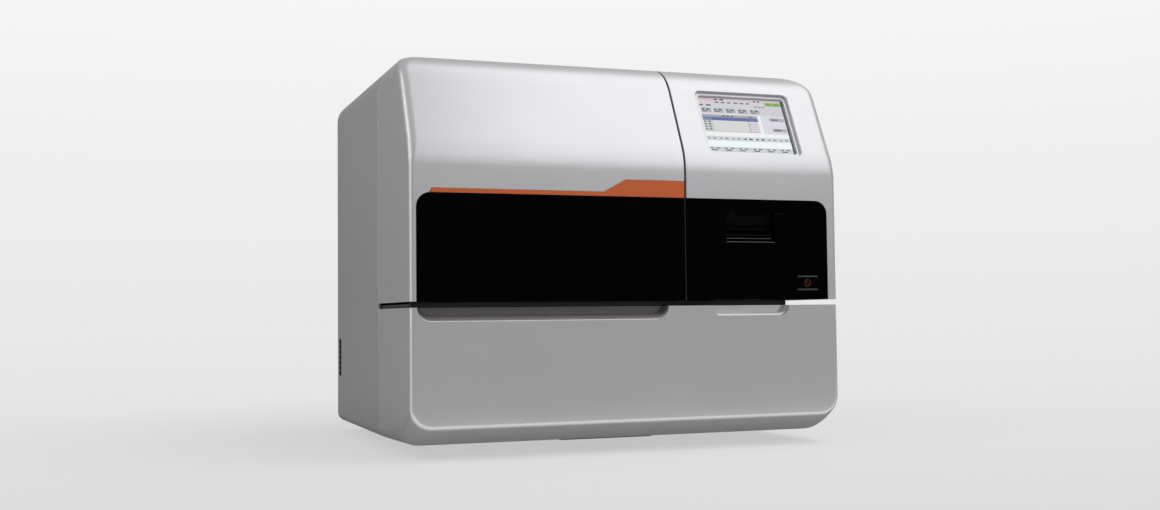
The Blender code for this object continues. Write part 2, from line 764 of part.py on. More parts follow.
def arch_ring(y):
    """The main cover's left side, top and right side, drawn in at the rear edge."""
    start = REAR - REAR_RADIUS
    inset = 0
    if y > start:
        turn = min((y - start) / REAR_RADIUS, 1)
        inset = REAR_RADIUS * (1 - math.sqrt(max(1 - turn**2, 0)))
    half = HALF - inset
    top = BODY_HEIGHT - inset
    quarter = math.pi / 2
    low = BOTTOM_RADIUS - inset
    high = TOP_RADIUS - inset
    points = arc((-half + low, UNDERSIDE + inset + low), low, 3 * quarter, 2 * quarter)
    points += arc((-half + high, top - high), high, 2 * quarter, quarter)
    points += arc((half - high, top - high), high, quarter, 0)
    points += arc((half - low, UNDERSIDE + inset + low), low, 0, -quarter)
    return [(x, y, z) for x, z in points]


def make_main_cover():
    start = REAR - REAR_RADIUS
    rear = [start + REAR_RADIUS * math.sin(a) for a in steps_between(0, math.pi / 2, CORNER_STEPS)]
    bm = bmesh.new()
    skin(bm, [arch_ring(y) for y in [SEAM + SEAM_GAP / 2, *rear]], closed=False, caps=False)
    obj = shell("main_cover", bm, silver_paint(), (0, 0, BODY_HEIGHT / 2))
    low = (-HALF - OVERRUN, VENT_FRONT, VENT_LOW)
    high = (-HALF + WALL + OVERRUN, VENT_REAR, VENT_HIGH)
    return cut(obj, box(bmesh.new(), low, high))


def make_side_vent_grille():
    outer = -HALF + CLEAR
    low = (outer, VENT_FRONT + CLEAR, VENT_LOW + CLEAR)
    high = (outer + WALL, VENT_REAR - CLEAR, VENT_HIGH - CLEAR)
    obj = finish("side_vent_grille", box(bmesh.new(), low, high), black_plastic())
    pitch = (high[2] - low[2]) / VENT_SLATS
    slot = pitch * SLAT_SHARE
    slots = bmesh.new()
    for i in range(VENT_SLATS):
        middle = low[2] + pitch * (i + SLAT_SHARE)
        first = (outer - OVERRUN, low[1] + SHEET, middle - slot / 2)
        last = (outer + WALL + OVERRUN, high[1] - SHEET, middle + slot / 2)
        box(slots, first, last)
    return cut(obj, slots)


def make_base_plate():
    edge = HALF - BOTTOM_RADIUS - SEAM_GAP
    low = (-edge, SEAM + SEAM_GAP / 2, UNDERSIDE)
    high = (edge, REAR - PANEL - SHEET, FLOOR)
    return finish("base_plate", box(bmesh.new(), low, high), plated_steel())


def make_feet():
    for x, side in ((-FOOT_X, "left"), (FOOT_X, "right")):
        for y, end in ((FRONT_FOOT_Y, "front"), (REAR_FOOT_Y, "rear")):
            bm = cylinder(bmesh.new(), (x, y), "z", FOOT_RADIUS, 0, UNDERSIDE - CLEAR)
            finish(f"foot_{end}_{side}", bm, rubber(), SMOOTH)


def make_base_filter_tray():
    top = UNDERSIDE - CLEAR
    low = (FILTER_LEFT, CHIN_START, top - FILTER_THICK)
    high = (FILTER_RIGHT, CHIN_START + FILTER_LENGTH, top)
    return finish("base_filter_tray", box(bmesh.new(), low, high), black_plastic())


# Rear panel, fan, inlet, ports and screws
FAN_INSET = 133 * MM
FAN_BELOW_TOP = 190 * MM
FAN_SIZE = 80 * MM
FAN_THICK = 25 * MM
FAN_BORE = 37 * MM
FAN_HUB = 15 * MM
FAN_TIP = 35 * MM
FAN_BLADES = 7
FAN_BLADE_THICK = 1.6 * MM
FAN_BLADE_TWIST = math.radians(35)
GUARD_RINGS = 4
GUARD_SPOKES = 4
GUARD_CENTRE = 8 * MM
GUARD_BAR = 2 * MM
SCREW_RADIUS = 1.5 * MM
SCREW_HEAD = 3.5 * MM
SCREW_HEAD_THICK = 0.9 * MM
SCREW_LENGTH = 7 * MM
SCREW_INSET = 9 * MM
SCREW_SIDES = 12
INLET_INSET = 58 * MM
INLET_Z = 62 * MM
INLET_WIDTH = 28 * MM
INLET_HEIGHT = 48 * MM
SOCKET_HEIGHT = 20 * MM
SOCKET_DEPTH = 16 * MM
INLET_DEPTH = 24 * MM
INLET_RIM = 2 * MM
PIN_SIZE = (4 * MM, 2 * MM)
PIN_PITCH = 7 * MM
PIN_DROP = 4 * MM
ROCKER_HEIGHT = 19 * MM
ROCKER_WIDTH = 13 * MM
ROCKER_THICK = 7 * MM
ROCKER_TILT = math.radians(8)
ROCKER_BACK_SHARE = 0.33
ROCKER_WAIST_SHARE = 0.33
ROCKER_END_SHARE = 0.6
PORTS_INSET = 193 * MM
PORTS_Z = 62 * MM
PORTS_WIDTH = 76 * MM
PORTS_HEIGHT = 26 * MM
PORT_DEPTH = 9 * MM
SERIAL_PORT = (-22 * MM, 30 * MM, 10 * MM)
NETWORK_PORT = (10 * MM, 13 * MM, 12 * MM)
USB_PORT = (28 * MM, 12 * MM, 6 * MM)
FAN_X = HALF - FAN_INSET
FAN_Z = BODY_HEIGHT - FAN_BELOW_TOP
INLET_X = -HALF + INLET_INSET
PORTS_X = -HALF + PORTS_INSET
PANEL_OUTER = REAR - SCREW_HEAD_THICK - CLEAR
PANEL_INNER = PANEL_OUTER - PANEL
PANEL_EDGE = REAR_RADIUS + 2 * CLEAR


def panel_limits():
    return (-HALF + PANEL_EDGE, HALF - PANEL_EDGE, UNDERSIDE + PANEL_EDGE, BODY_HEIGHT - PANEL_EDGE)


def screw_places():
    left, right, low, high = panel_limits()
    rows = (("low", low + SCREW_INSET), ("high", high - TOP_RADIUS))
    columns = (("left", left + SCREW_INSET), ("right", right - SCREW_INSET))
    return {f"{row}_{column}": (x, z) for row, z in rows for column, x in columns}


def fan_square(inset):
    half = FAN_SIZE / 2 - inset
    radii = (SCREW_HEAD,) * 4
    return rounded(FAN_X - half, FAN_X + half, FAN_Z - half, FAN_Z + half, radii, SMALL_CORNER_STEPS)


def guard_slots():
    """Inner and outer radius of each ring of slots before the fan."""
    pitch = (FAN_BORE - GUARD_CENTRE) / GUARD_RINGS
    starts = [GUARD_CENTRE + pitch * i for i in range(GUARD_RINGS)]
    return [(start + GUARD_BAR, start + pitch) for start in starts]


def guard_slot(first, last, index):
    """One slot between two spokes, as an outline round the fan's axis."""
    turn = 2 * math.pi / GUARD_SPOKES
    bar = GUARD_BAR / 2 / first
    start = turn * index + bar
    end = turn * (index + 1) - bar
    centre = (FAN_X, FAN_Z)
    return arc(centre, last, start, end) + list(reversed(arc(centre, first, start, end)))


def make_rear_panel():
    """The rear panel, with the fan's guard stamped in it."""
    left, right, low, high = panel_limits()
    radius = TOP_RADIUS - PANEL_EDGE
    small = BOTTOM_RADIUS - REAR_RADIUS
    outline = rounded(left, right, low, high, (small, small, radius, radius))
    bm = prism(bmesh.new(), outline, "y", PANEL_INNER, PANEL_OUTER)
    obj = finish("rear_panel", bm, silver_paint())
    start, end = PANEL_INNER - OVERRUN, PANEL_OUTER + OVERRUN
    holes = bmesh.new()
    for first, last in guard_slots():
        for i in range(GUARD_SPOKES):
            prism(holes, guard_slot(first, last, i), "y", start, end)
    for x, z in screw_places().values():
        cylinder(holes, (x, z), "y", SCREW_RADIUS + CLEAR, start, end, SCREW_SIDES)
    for x, z, width, height in (
        (INLET_X, INLET_Z, INLET_WIDTH, INLET_HEIGHT),
        (PORTS_X, PORTS_Z, PORTS_WIDTH, PORTS_HEIGHT),
    ):
        half = (width / 2 + CLEAR, height / 2 + CLEAR)
        box(holes, (x - half[0], start, z - half[1]), (x + half[0], end, z + half[1]))
    return cut(obj, holes)


def make_rear_screws():
    head = REAR - SCREW_HEAD_THICK
    tip = PANEL_OUTER - SCREW_LENGTH
    profile = [(tip, SCREW_RADIUS), (head, SCREW_RADIUS), (head, SCREW_HEAD), (REAR, SCREW_HEAD)]
    for name, centre in screw_places().items():
        bm = turned(bmesh.new(), centre, "y", profile, SCREW_SIDES)
        finish(f"rear_screw_{name}", bm, plated_steel(), SMOOTH)


def make_fan():
    front = PANEL_INNER - CLEAR - FAN_THICK
    rear = PANEL_INNER - CLEAR
    obj = finish("fan_housing", prism(bmesh.new(), fan_square(0), "y", front, rear), black_plastic())
    bore = cylinder(bmesh.new(), (FAN_X, FAN_Z), "y", FAN_BORE, front + SHEET, rear + OVERRUN)
    cut(obj, bore)
    inlet = bmesh.new()
    pipe(inlet, (FAN_X, FAN_Z), "y", FAN_BORE, FAN_HUB, front - OVERRUN, front + SHEET + OVERRUN)
    cut(obj, inlet)
    spider = bmesh.new()
    bar = FAN_BLADE_THICK
    reach = FAN_SIZE / 2 - bar
    box(spider, (FAN_X - reach, front, FAN_Z - bar), (FAN_X + reach, front + SHEET, FAN_Z + bar))
    join(obj, spider)
    hub_start = front + SHEET + CLEAR
    hub_end = rear - SHEET
    hub = cylinder(bmesh.new(), (FAN_X, FAN_Z), "y", FAN_HUB, hub_start, hub_end)
    rotor = finish("fan_rotor", hub, black_plastic())
    blades = bmesh.new()
    for i in range(FAN_BLADES):
        blade = bmesh.new()
        root = FAN_HUB - FAN_BLADE_THICK
        middle = (hub_start + hub_end) / 2
        chord = (hub_end - hub_start) / 2 - SHEET
        box(blade, (-FAN_BLADE_THICK / 2, -chord, root), (FAN_BLADE_THICK / 2, chord, FAN_TIP))
        turn = Matrix.Translation((FAN_X, middle, FAN_Z))
        turn @= Matrix.Rotation(2 * math.pi * i / FAN_BLADES, 4, "Y")
        turn @= Matrix.Rotation(FAN_BLADE_TWIST, 4, "Z")
        bmesh.ops.transform(blade, matrix=turn, verts=blade.verts)
        mesh = bpy.data.meshes.new("blade")
        blade.to_mesh(mesh)
        blade.free()
        blades.from_mesh(mesh)
        bpy.data.meshes.remove(mesh)
    join(rotor, blades)
    return set_origin(rotor, (FAN_X, (hub_start + hub_end) / 2, FAN_Z))


def make_power_inlet():
    half_w = INLET_WIDTH / 2
    half_h = INLET_HEIGHT / 2
    front = PANEL_OUTER - INLET_DEPTH
    low = (INLET_X - half_w, front, INLET_Z - half_h)
    high = (INLET_X + half_w, PANEL_OUTER, INLET_Z + half_h)
    obj = finish("power_inlet", box(bmesh.new(), low, high), black_plastic())
    wells = bmesh.new()
    socket_low = INLET_Z - half_h + INLET_RIM
    box(
        wells,
        (low[0] + INLET_RIM, PANEL_OUTER - SOCKET_DEPTH, socket_low),
        (high[0] - INLET_RIM, PANEL_OUTER + OVERRUN, socket_low + SOCKET_HEIGHT),
    )
    rocker_low = rocker_centre() - ROCKER_HEIGHT / 2 - 2 * CLEAR
    side = ROCKER_WIDTH / 2 + 2 * CLEAR
    box(
        wells,
        (INLET_X - side, PANEL_OUTER - ROCKER_THICK - SHEET, rocker_low),
        (INLET_X + side, PANEL_OUTER + OVERRUN, rocker_centre() + ROCKER_HEIGHT / 2 + 2 * CLEAR),
    )
    cut(obj, wells)
    pins = bmesh.new()
    middle = socket_low + SOCKET_HEIGHT / 2
    for x, z in ((-PIN_PITCH, 0), (0, PIN_DROP), (PIN_PITCH, 0)):
        first = (INLET_X + x - PIN_SIZE[1] / 2, front + SHEET, middle + z - PIN_SIZE[0] / 2)
        last = (INLET_X + x + PIN_SIZE[1] / 2, PANEL_OUTER - SHEET, middle + z + PIN_SIZE[0] / 2)
        box(pins, first, last)
    join(obj, pins)
    bore = hinge_stub(bmesh.new(), ROCKER_WIDTH / 2 + 2 * CLEAR + SHEET, SCREW_RADIUS / 2 + CLEAR)
    return cut(obj, bore)


def rocker_centre():
    return INLET_Z + INLET_HEIGHT / 2 - INLET_RIM - ROCKER_HEIGHT / 2 - 2 * CLEAR


def hinge_stub(bm, reach, radius):
    """The rocker's pivot pin, or the bore it turns in."""
    centre = (PANEL_OUTER - ROCKER_THICK / 2, rocker_centre())
    return cylinder(bm, centre, "x", radius, INLET_X - reach, INLET_X + reach, SCREW_SIDES)


def make_power_rocker():
    depth = ROCKER_THICK / 2
    middle = Vector((INLET_X, PANEL_OUTER - depth, rocker_centre()))
    bm = bmesh.new()
    half = ROCKER_HEIGHT / 2 - SHEET
    back = -depth * ROCKER_BACK_SHARE
    end = depth * ROCKER_END_SHARE
    waist = depth * ROCKER_WAIST_SHARE
    outline = [(back, -half), (end, -half), (waist, 0), (end, half), (back, half)]
    prism(bm, outline, "x", -ROCKER_WIDTH / 2, ROCKER_WIDTH / 2)
    bmesh.ops.transform(bm, matrix=Matrix.Rotation(-ROCKER_TILT, 4, "X"), verts=bm.verts)
    bmesh.ops.translate(bm, vec=middle, verts=bm.verts)
    obj = finish("power_rocker", bm, black_plastic())
    join(obj, hinge_stub(bmesh.new(), ROCKER_WIDTH / 2 + SHEET, SCREW_RADIUS / 2))
    return set_origin(obj, middle)


def make_interface_ports():
    front = PANEL_OUTER - INLET_DEPTH / 2
    half_w = PORTS_WIDTH / 2
    half_h = PORTS_HEIGHT / 2
    low = (PORTS_X - half_w, front, PORTS_Z - half_h)
    high = (PORTS_X + half_w, PANEL_OUTER, PORTS_Z + half_h)
    obj = finish("interface_ports", box(bmesh.new(), low, high), plated_steel())
    wells = bmesh.new()
    for x, width, height in (SERIAL_PORT, NETWORK_PORT, USB_PORT):
        first = (PORTS_X + x - width / 2, PANEL_OUTER - PORT_DEPTH, PORTS_Z - height / 2)
        last = (PORTS_X + x + width / 2, PANEL_OUTER + OVERRUN, PORTS_Z + height / 2)
        box(wells, first, last)
    return cut(obj, wells)


# Chassis: side plates, deck, divider and the chamber's rear wall
SIDE_PLATE_INSET = 19 * MM
SIDE_PLATE_BEHIND_FRONT = 67 * MM
DECK_THICK = 4 * MM
DECK_BEHIND_FRONT = 14 * MM
DECK_INSET = 4 * MM
SIGHT_WIDTH = 69 * MM
SIGHT_DEPTH = 133 * MM
CHAMBER_BELOW_TOP = 20 * MM
DIVIDER_BESIDE_SPLIT = 5 * MM
DIVIDER_BEHIND_FRONT = 23 * MM
DIVIDER_BELOW_TOP = 118 * MM
WASTE_BESIDE_SPLIT = 48 * MM
WASTE_BEHIND_FRONT = 235 * MM
WASTE_SIZE = (60 * MM, 70 * MM)
WASTE_ABOVE_FLOOR = 59.9 * MM
WASTE_RIM = 4 * MM
SIDE_PLATE_X = HALF - SIDE_PLATE_INSET
SIDE_PLATE_FRONT = FRONT + SIDE_PLATE_BEHIND_FRONT
DECK_FRONT = FRONT + DECK_BEHIND_FRONT
DECK_EDGE = HALF - DECK_INSET
SIGHT_FRONT_X = HALF - SIGHT_WIDTH
SIGHT_SIDE_Y = FRONT + SIGHT_DEPTH
REAR_WALL_Y = FRONT + CHAMBER_DEPTH
CHAMBER_TOP = BODY_HEIGHT - CHAMBER_BELOW_TOP
DIVIDER_X = COVER_SPLIT + DIVIDER_BESIDE_SPLIT
DIVIDER_FRONT = FRONT + DIVIDER_BEHIND_FRONT
DIVIDER_TOP = BODY_HEIGHT - DIVIDER_BELOW_TOP
WASTE_X = COVER_SPLIT - WASTE_BESIDE_SPLIT
WASTE_Y = FRONT + WASTE_BEHIND_FRONT
DECK_BOTTOM = SLOT_BOTTOM + 2 * CLEAR
DECK_TOP = DECK_BOTTOM + DECK_THICK
DECK_REAR = REAR_WALL_Y + SHEET
ON_DECK = DECK_TOP + CLEAR


def make_side_plates():
    for name, side, front in (("left", -1, SIDE_PLATE_FRONT), ("right", 1, SIGHT_SIDE_Y)):
        edges = sorted((side * SIDE_PLATE_X, side * (SIDE_PLATE_X - SHEET)))
        low = (edges[0], front, FLOOR + CLEAR)
        high = (edges[1], DECK_REAR, DECK_BOTTOM - CLEAR)
        finish(f"{name}_side_plate", box(bmesh.new(), low, high), plated_steel())


def make_deck_plate():
    outline = [
        (-DECK_EDGE, DECK_FRONT),
        (SIGHT_FRONT_X, DECK_FRONT),
        (DECK_EDGE, SIGHT_SIDE_Y),
        (DECK_EDGE, DECK_REAR),
        (-DECK_EDGE, DECK_REAR),
    ]
    obj = finish("deck_plate", prism(bmesh.new(), outline, "z", DECK_BOTTOM, DECK_TOP), black_plastic())
    lip = box(
        bmesh.new(),
        (-DECK_EDGE, DECK_FRONT, DECK_BOTTOM),
        (SIGHT_FRONT_X, DECK_FRONT + SHEET, SLOT_TOP - 2 * CLEAR),
    )
    join(obj, lip)
    half_x = WASTE_SIZE[0] / 2 + CLEAR
    half_y = WASTE_SIZE[1] / 2 + CLEAR
    low = (WASTE_X - half_x, WASTE_Y - half_y, DECK_BOTTOM - OVERRUN)
    high = (WASTE_X + half_x, WASTE_Y + half_y, DECK_TOP + OVERRUN)
    return cut(obj, box(bmesh.new(), low, high))


def make_divider_wall():
    low = (DIVIDER_X, DIVIDER_FRONT, ON_DECK)
    high = (DIVIDER_X + SHEET, REAR_WALL_Y - CLEAR, DIVIDER_TOP)
    return finish("divider_wall", box(bmesh.new(), low, high), plated_steel())


def make_chamber_rear_wall():
    low = (-SIDE_PLATE_X, REAR_WALL_Y, ON_DECK)
    high = (SIDE_PLATE_X, REAR_WALL_Y + SHEET, CHAMBER_TOP)
    return finish("chamber_rear_wall", box(bmesh.new(), low, high), plated_steel())


# Printer behind its door
PRINTER_INSET = 5 * MM
PRINTER_WIDTH = 88 * MM
PRINTER_BEHIND_FRONT = 17 * MM
PRINTER_DEPTH = 78 * MM
PRINTER_BELOW_DOOR_TOP = 5.5 * MM
ROLL_RADIUS = 24 * MM
ROLL_BEHIND_FRONT = 61 * MM
ROLL_ABOVE_SLOT = 40 * MM
STUB_RADIUS = 5 * MM
STUB_LENGTH = 5 * MM
PLATEN_INSET = 8 * MM
PLATEN_RADIUS = 6 * MM
PLATEN_SHAFT = 2.5 * MM
PLATEN_BEHIND_FRONT = 23 * MM
PLATEN_ABOVE_SLOT = 80 * MM
GUIDE_BEHIND_DOOR = 1.5 * MM
GUIDE_BELOW_OUTLET = 4.5 * MM
RIB = 2 * MM
RIB_PITCH = 8 * MM
RIB_COUNT = 3
HEAD_THICK = 5 * MM
HEAD_HEIGHT = 20 * MM
PRINTER_LEFT = DOOR_LEFT + PRINTER_INSET
PRINTER_RIGHT = PRINTER_LEFT + PRINTER_WIDTH
PRINTER_FRONT = FRONT + PRINTER_BEHIND_FRONT
PRINTER_REAR = PRINTER_FRONT + PRINTER_DEPTH
PRINTER_TOP = DOOR_TOP - PRINTER_BELOW_DOOR_TOP
ROLL_Y = FRONT + ROLL_BEHIND_FRONT
ROLL_Z = SLOT_TOP + ROLL_ABOVE_SLOT
PLATEN_LEFT = PRINTER_LEFT + PLATEN_INSET
PLATEN_RIGHT = PRINTER_RIGHT - PLATEN_INSET
PLATEN_Y = FRONT + PLATEN_BEHIND_FRONT
PLATEN_Z = SLOT_TOP + PLATEN_ABOVE_SLOT
GUIDE_LOW = OUTLET_BOTTOM - GUIDE_BELOW_OUTLET


def make_printer_frame():
    outline = [
        (PRINTER_LEFT, ON_DECK),
        (PRINTER_RIGHT, ON_DECK),
        (PRINTER_RIGHT, PRINTER_TOP),
        (PRINTER_RIGHT - PANEL, PRINTER_TOP),
        (PRINTER_RIGHT - PANEL, ON_DECK + PANEL),
        (PRINTER_LEFT + PANEL, ON_DECK + PANEL),
        (PRINTER_LEFT + PANEL, PRINTER_TOP),
        (PRINTER_LEFT, PRINTER_TOP),
    ]
    bm = prism(bmesh.new(), outline, "y", PRINTER_FRONT, PRINTER_REAR)
    obj = finish("printer_frame", bm, grey_plastic())
    stubs = bmesh.new()
    for wall, reach in ((PRINTER_LEFT + PANEL, STUB_LENGTH), (PRINTER_RIGHT - PANEL, -STUB_LENGTH)):
        edges = sorted((wall - reach / 2, wall + reach))
        cylinder(stubs, (ROLL_Y, ROLL_Z), "x", STUB_RADIUS, *edges)
    return join(obj, stubs)


def inside_printer():
    return (PRINTER_LEFT + PANEL + CLEAR, PRINTER_RIGHT - PANEL - CLEAR)


def make_paper_roll():
    left, right = inside_printer()
    bm = pipe(bmesh.new(), (ROLL_Y, ROLL_Z), "x", ROLL_RADIUS, STUB_RADIUS + CLEAR, left, right)
    return set_origin(finish("paper_roll", bm, paper(), SMOOTH), (0, ROLL_Y, ROLL_Z))


def make_platen_roller():
    left, right = inside_printer()
    profile = [
        (left, PLATEN_SHAFT),
        (PLATEN_LEFT, PLATEN_SHAFT),
        (PLATEN_LEFT, PLATEN_RADIUS),
        (PLATEN_RIGHT, PLATEN_RADIUS),
        (PLATEN_RIGHT, PLATEN_SHAFT),
        (right, PLATEN_SHAFT),
    ]
    bm = turned(bmesh.new(), (PLATEN_Y, PLATEN_Z), "x", profile)
    return set_origin(finish("platen_roller", bm, rubber(), SMOOTH), (0, PLATEN_Y, PLATEN_Z))


def make_print_head():
    left, right = inside_printer()
    low_y = PLATEN_Y + PLATEN_RADIUS + CLEAR
    half = HEAD_HEIGHT / 2
    bm = box(bmesh.new(), (left, low_y, PLATEN_Z - half), (right, low_y + HEAD_THICK, PLATEN_Z + half))
    return finish("print_head", bm, aluminium())


def make_paper_outlet_guide():
    """A ribbed throat that shows through the door's paper outlet."""
    front = FRONT + WINDOW_THICK + GUIDE_BEHIND_DOOR
    back = PRINTER_FRONT - CLEAR
    ribs = [OUTLET_BOTTOM + RIB_PITCH * i for i in range(RIB_COUNT)]
    outline = [(front, GUIDE_LOW), (back, GUIDE_LOW), (back, PRINTER_TOP), (front, PRINTER_TOP)]
    outline.append((front, PRINTER_TOP - RIB))
    depth = back - 2 * RIB
    for z in reversed(ribs):
        outline += [(depth, z + 2 * RIB), (depth, z + RIB), (front, z + RIB), (front, z)]
    bm = prism(bmesh.new(), outline, "x", PRINTER_LEFT, PRINTER_RIGHT)
    return finish("paper_outlet_guide", bm, black_plastic())


# Places of the sampling arm, which the chamber's contents follow
RAIL_LEFT_INSET = 21 * MM
RAIL_BESIDE_SPLIT = 6 * MM
RAIL_DEPTH = 16 * MM
RAIL_HEIGHT = 20 * MM
RAIL_BELOW_TOP = 145 * MM
CARRIAGE_BESIDE_MIDDLE = 7.5 * MM
CARRIAGE_WIDTH = 50 * MM
CARRIAGE_WALL = 6 * MM
CARRIAGE_HOOK = 10 * MM
ARM_WIDTH = 24 * MM
ARM_BEHIND_FRONT = 30 * MM
PROBE_BEHIND_FRONT = 165 * MM
PROBE_CARRIAGE_LENGTH = 30 * MM
HOLDER_WIDTH = 10 * MM
HOLDER_DEPTH = 16 * MM
HOLDER_HEIGHT = 70 * MM
HOLDER_BELOW_RAIL = 15 * MM
PROBE_REACH = 55 * MM
PROBE_RADIUS = 1 * MM
SCREW_ROD_RADIUS = 4 * MM
SCREW_ROD_ABOVE_RAIL = 20 * MM
MOTOR_LENGTH = 22 * MM
MOTOR_ABOVE = 12 * MM
BEARING_LENGTH = 6 * MM
RAIL_LEFT = -HALF + RAIL_LEFT_INSET
RAIL_RIGHT = COVER_SPLIT - RAIL_BESIDE_SPLIT
RAIL_LOW = BODY_HEIGHT - RAIL_BELOW_TOP
RAIL_HIGH = RAIL_LOW + RAIL_HEIGHT
CARRIAGE_X = CHAMBER_MIDDLE + CARRIAGE_BESIDE_MIDDLE
ARM_FRONT = FRONT + ARM_BEHIND_FRONT
PROBE_CARRIAGE_Y = FRONT + PROBE_BEHIND_FRONT
HOLDER_LOW = RAIL_LOW - HOLDER_BELOW_RAIL
HOLDER_HIGH = HOLDER_LOW + HOLDER_HEIGHT
PROBE_TIP = HOLDER_LOW - PROBE_REACH
SCREW_ROD_Z = RAIL_HIGH + SCREW_ROD_ABOVE_RAIL
RAIL_REAR = REAR_WALL_Y - CLEAR
RAIL_FRONT = RAIL_REAR - RAIL_DEPTH
SCREW_ROD_Y = RAIL_FRONT + RAIL_DEPTH / 2
CARRIAGE_FRONT = RAIL_FRONT - CLEAR - 2 * CARRIAGE_WALL
ARM_LEFT = CARRIAGE_X - ARM_WIDTH / 2
ARM_RIGHT = CARRIAGE_X + ARM_WIDTH / 2
HOLDER_RIGHT = ARM_LEFT - CLEAR - CARRIAGE_WALL - CLEAR
PROBE_X = HOLDER_RIGHT - HOLDER_WIDTH / 2

# Measuring chamber
RACK_END = 12 * MM
TUBES_LEFT_OF_PROBE = 4
RACK_BEHIND_FRONT = 47 * MM
RACK_WIDTH = 24 * MM
RACK_HEIGHT = 45 * MM
TUBE_COUNT = 10
TUBE_PITCH = 20 * MM
TUBE_RADIUS = 6.2 * MM
TUBE_FLOOR = 5 * MM
TUBE_SIDES = 12
REAGENT_BESIDE_SPLIT = 108 * MM
REAGENT_BEHIND_FRONT = 120 * MM
REAGENT_PITCH = 26 * MM
REAGENT_GRID = (3, 2)
REAGENT_HEIGHT = 20 * MM
VIAL_RADIUS = 11 * MM
CUVETTE_INSET = 44 * MM
CUVETTE_BEHIND_FRONT = 135 * MM
CUVETTE_BEFORE_CUP = 15 * MM
CUVETTE_PITCH = 14 * MM
CUVETTE_ROWS = 6
CUVETTE_SIDES = 8
CUVETTE_RADIUS = 4 * MM
CUVETTE_HEIGHT = 24 * MM
DETECTOR_BESIDE_SPLIT = 178 * MM
DETECTOR_BEHIND_FRONT = 211 * MM
DETECTOR_SIZE = (110 * MM, 40 * MM, 24 * MM)
DETECTOR_WELLS = 4
RINSE_RADIUS = 9 * MM
RINSE_BORE = 6 * MM
RINSE_HEIGHT = 28 * MM
RACK_Y = FRONT + RACK_BEHIND_FRONT
REAGENT_X = COVER_SPLIT - REAGENT_BESIDE_SPLIT
REAGENT_Y = FRONT + REAGENT_BEHIND_FRONT
DETECTOR_X = COVER_SPLIT - DETECTOR_BESIDE_SPLIT
DETECTOR_Y = FRONT + DETECTOR_BEHIND_FRONT
CUVETTE_LEFT = -HALF + CUVETTE_INSET + SHEET
CUVETTE_RIGHT = PROBE_X - RINSE_RADIUS - CUVETTE_BEFORE_CUP - SHEET
CUVETTE_COLUMNS = int((CUVETTE_RIGHT - CUVETTE_LEFT) / CUVETTE_PITCH)
CUVETTE_GRID = (CUVETTE_COLUMNS, CUVETTE_ROWS)
CUVETTE_X = CUVETTE_LEFT + CUVETTE_PITCH * CUVETTE_COLUMNS / 2
CUVETTE_Y = FRONT + CUVETTE_BEHIND_FRONT
RACK_LEFT = PROBE_X - TUBE_PITCH * TUBES_LEFT_OF_PROBE - RACK_END
RACK_RIGHT = RACK_LEFT + TUBE_PITCH * (TUBE_COUNT - 1) + 2 * RACK_END


def grid_places(centre, pitch, counts):
    columns, rows = counts
    return [
        (centre[0] + pitch * (i - (columns - 1) / 2), centre[1] + pitch * (j - (rows - 1) / 2))
        for i in range(columns)
        for j in range(rows)
    ]


def tube_places():
    return [(RACK_LEFT + RACK_END + TUBE_PITCH * i, RACK_Y) for i in range(TUBE_COUNT)]


def make_rack(name, low, high, places, radius, floor, mat):
    """A block with a round blind hole for each vessel."""
    obj = finish(name, box(bmesh.new(), low, high), mat)
    holes = bmesh.new()
    for spot in places:
        cylinder(holes, spot, "z", radius + CLEAR, low[2] + floor, high[2] + OVERRUN, TUBE_SIDES)
    return cut(obj, holes)


def make_sample_rack():
    low = (RACK_LEFT, RACK_Y - RACK_WIDTH / 2, ON_DECK)
    high = (RACK_RIGHT, RACK_Y + RACK_WIDTH / 2, ON_DECK + RACK_HEIGHT)
    return make_rack("sample_rack", low, high, tube_places(), TUBE_RADIUS, TUBE_FLOOR, grey_plastic())


def make_reagent_rack():
    places = grid_places((REAGENT_X, REAGENT_Y), REAGENT_PITCH, REAGENT_GRID)
    half = [REAGENT_PITCH * n / 2 + SHEET for n in REAGENT_GRID]
    low = (REAGENT_X - half[0], REAGENT_Y - half[1], ON_DECK)
    high = (REAGENT_X + half[0], REAGENT_Y + half[1], ON_DECK + REAGENT_HEIGHT)
    return make_rack("reagent_rack", low, high, places, VIAL_RADIUS, SHEET, aluminium())


def make_reaction_tubes():
    """A block of small tubes joined by a web near their mouths, standing on the deck."""
    places = grid_places((CUVETTE_X, CUVETTE_Y), CUVETTE_PITCH, CUVETTE_GRID)
    half = [CUVETTE_PITCH * n / 2 + SHEET for n in CUVETTE_GRID]
    bottom = ON_DECK
    top = bottom + CUVETTE_HEIGHT
    web = box(
        bmesh.new(),
        (CUVETTE_X - half[0], CUVETTE_Y - half[1], top - 2 * SHEET),
        (CUVETTE_X + half[0], CUVETTE_Y + half[1], top - SHEET),
    )
    obj = finish("reaction_tubes", web, clear_plastic())
    tubes = bmesh.new()
    for spot in places:
        cylinder(tubes, spot, "z", CUVETTE_RADIUS, bottom, top, CUVETTE_SIDES)
    return join(obj, tubes)


def make_detector_block():
    half = (DETECTOR_SIZE[0] / 2, DETECTOR_SIZE[1] / 2)
    low = (DETECTOR_X - half[0], DETECTOR_Y - half[1], ON_DECK)
    high = (DETECTOR_X + half[0], DETECTOR_Y + half[1], ON_DECK + DETECTOR_SIZE[2])
    pitch = DETECTOR_SIZE[0] / DETECTOR_WELLS
    places = grid_places((DETECTOR_X, DETECTOR_Y), pitch, (DETECTOR_WELLS, 1))
    return make_rack("detector_block", low, high, places, CUVETTE_RADIUS, SHEET, aluminium())


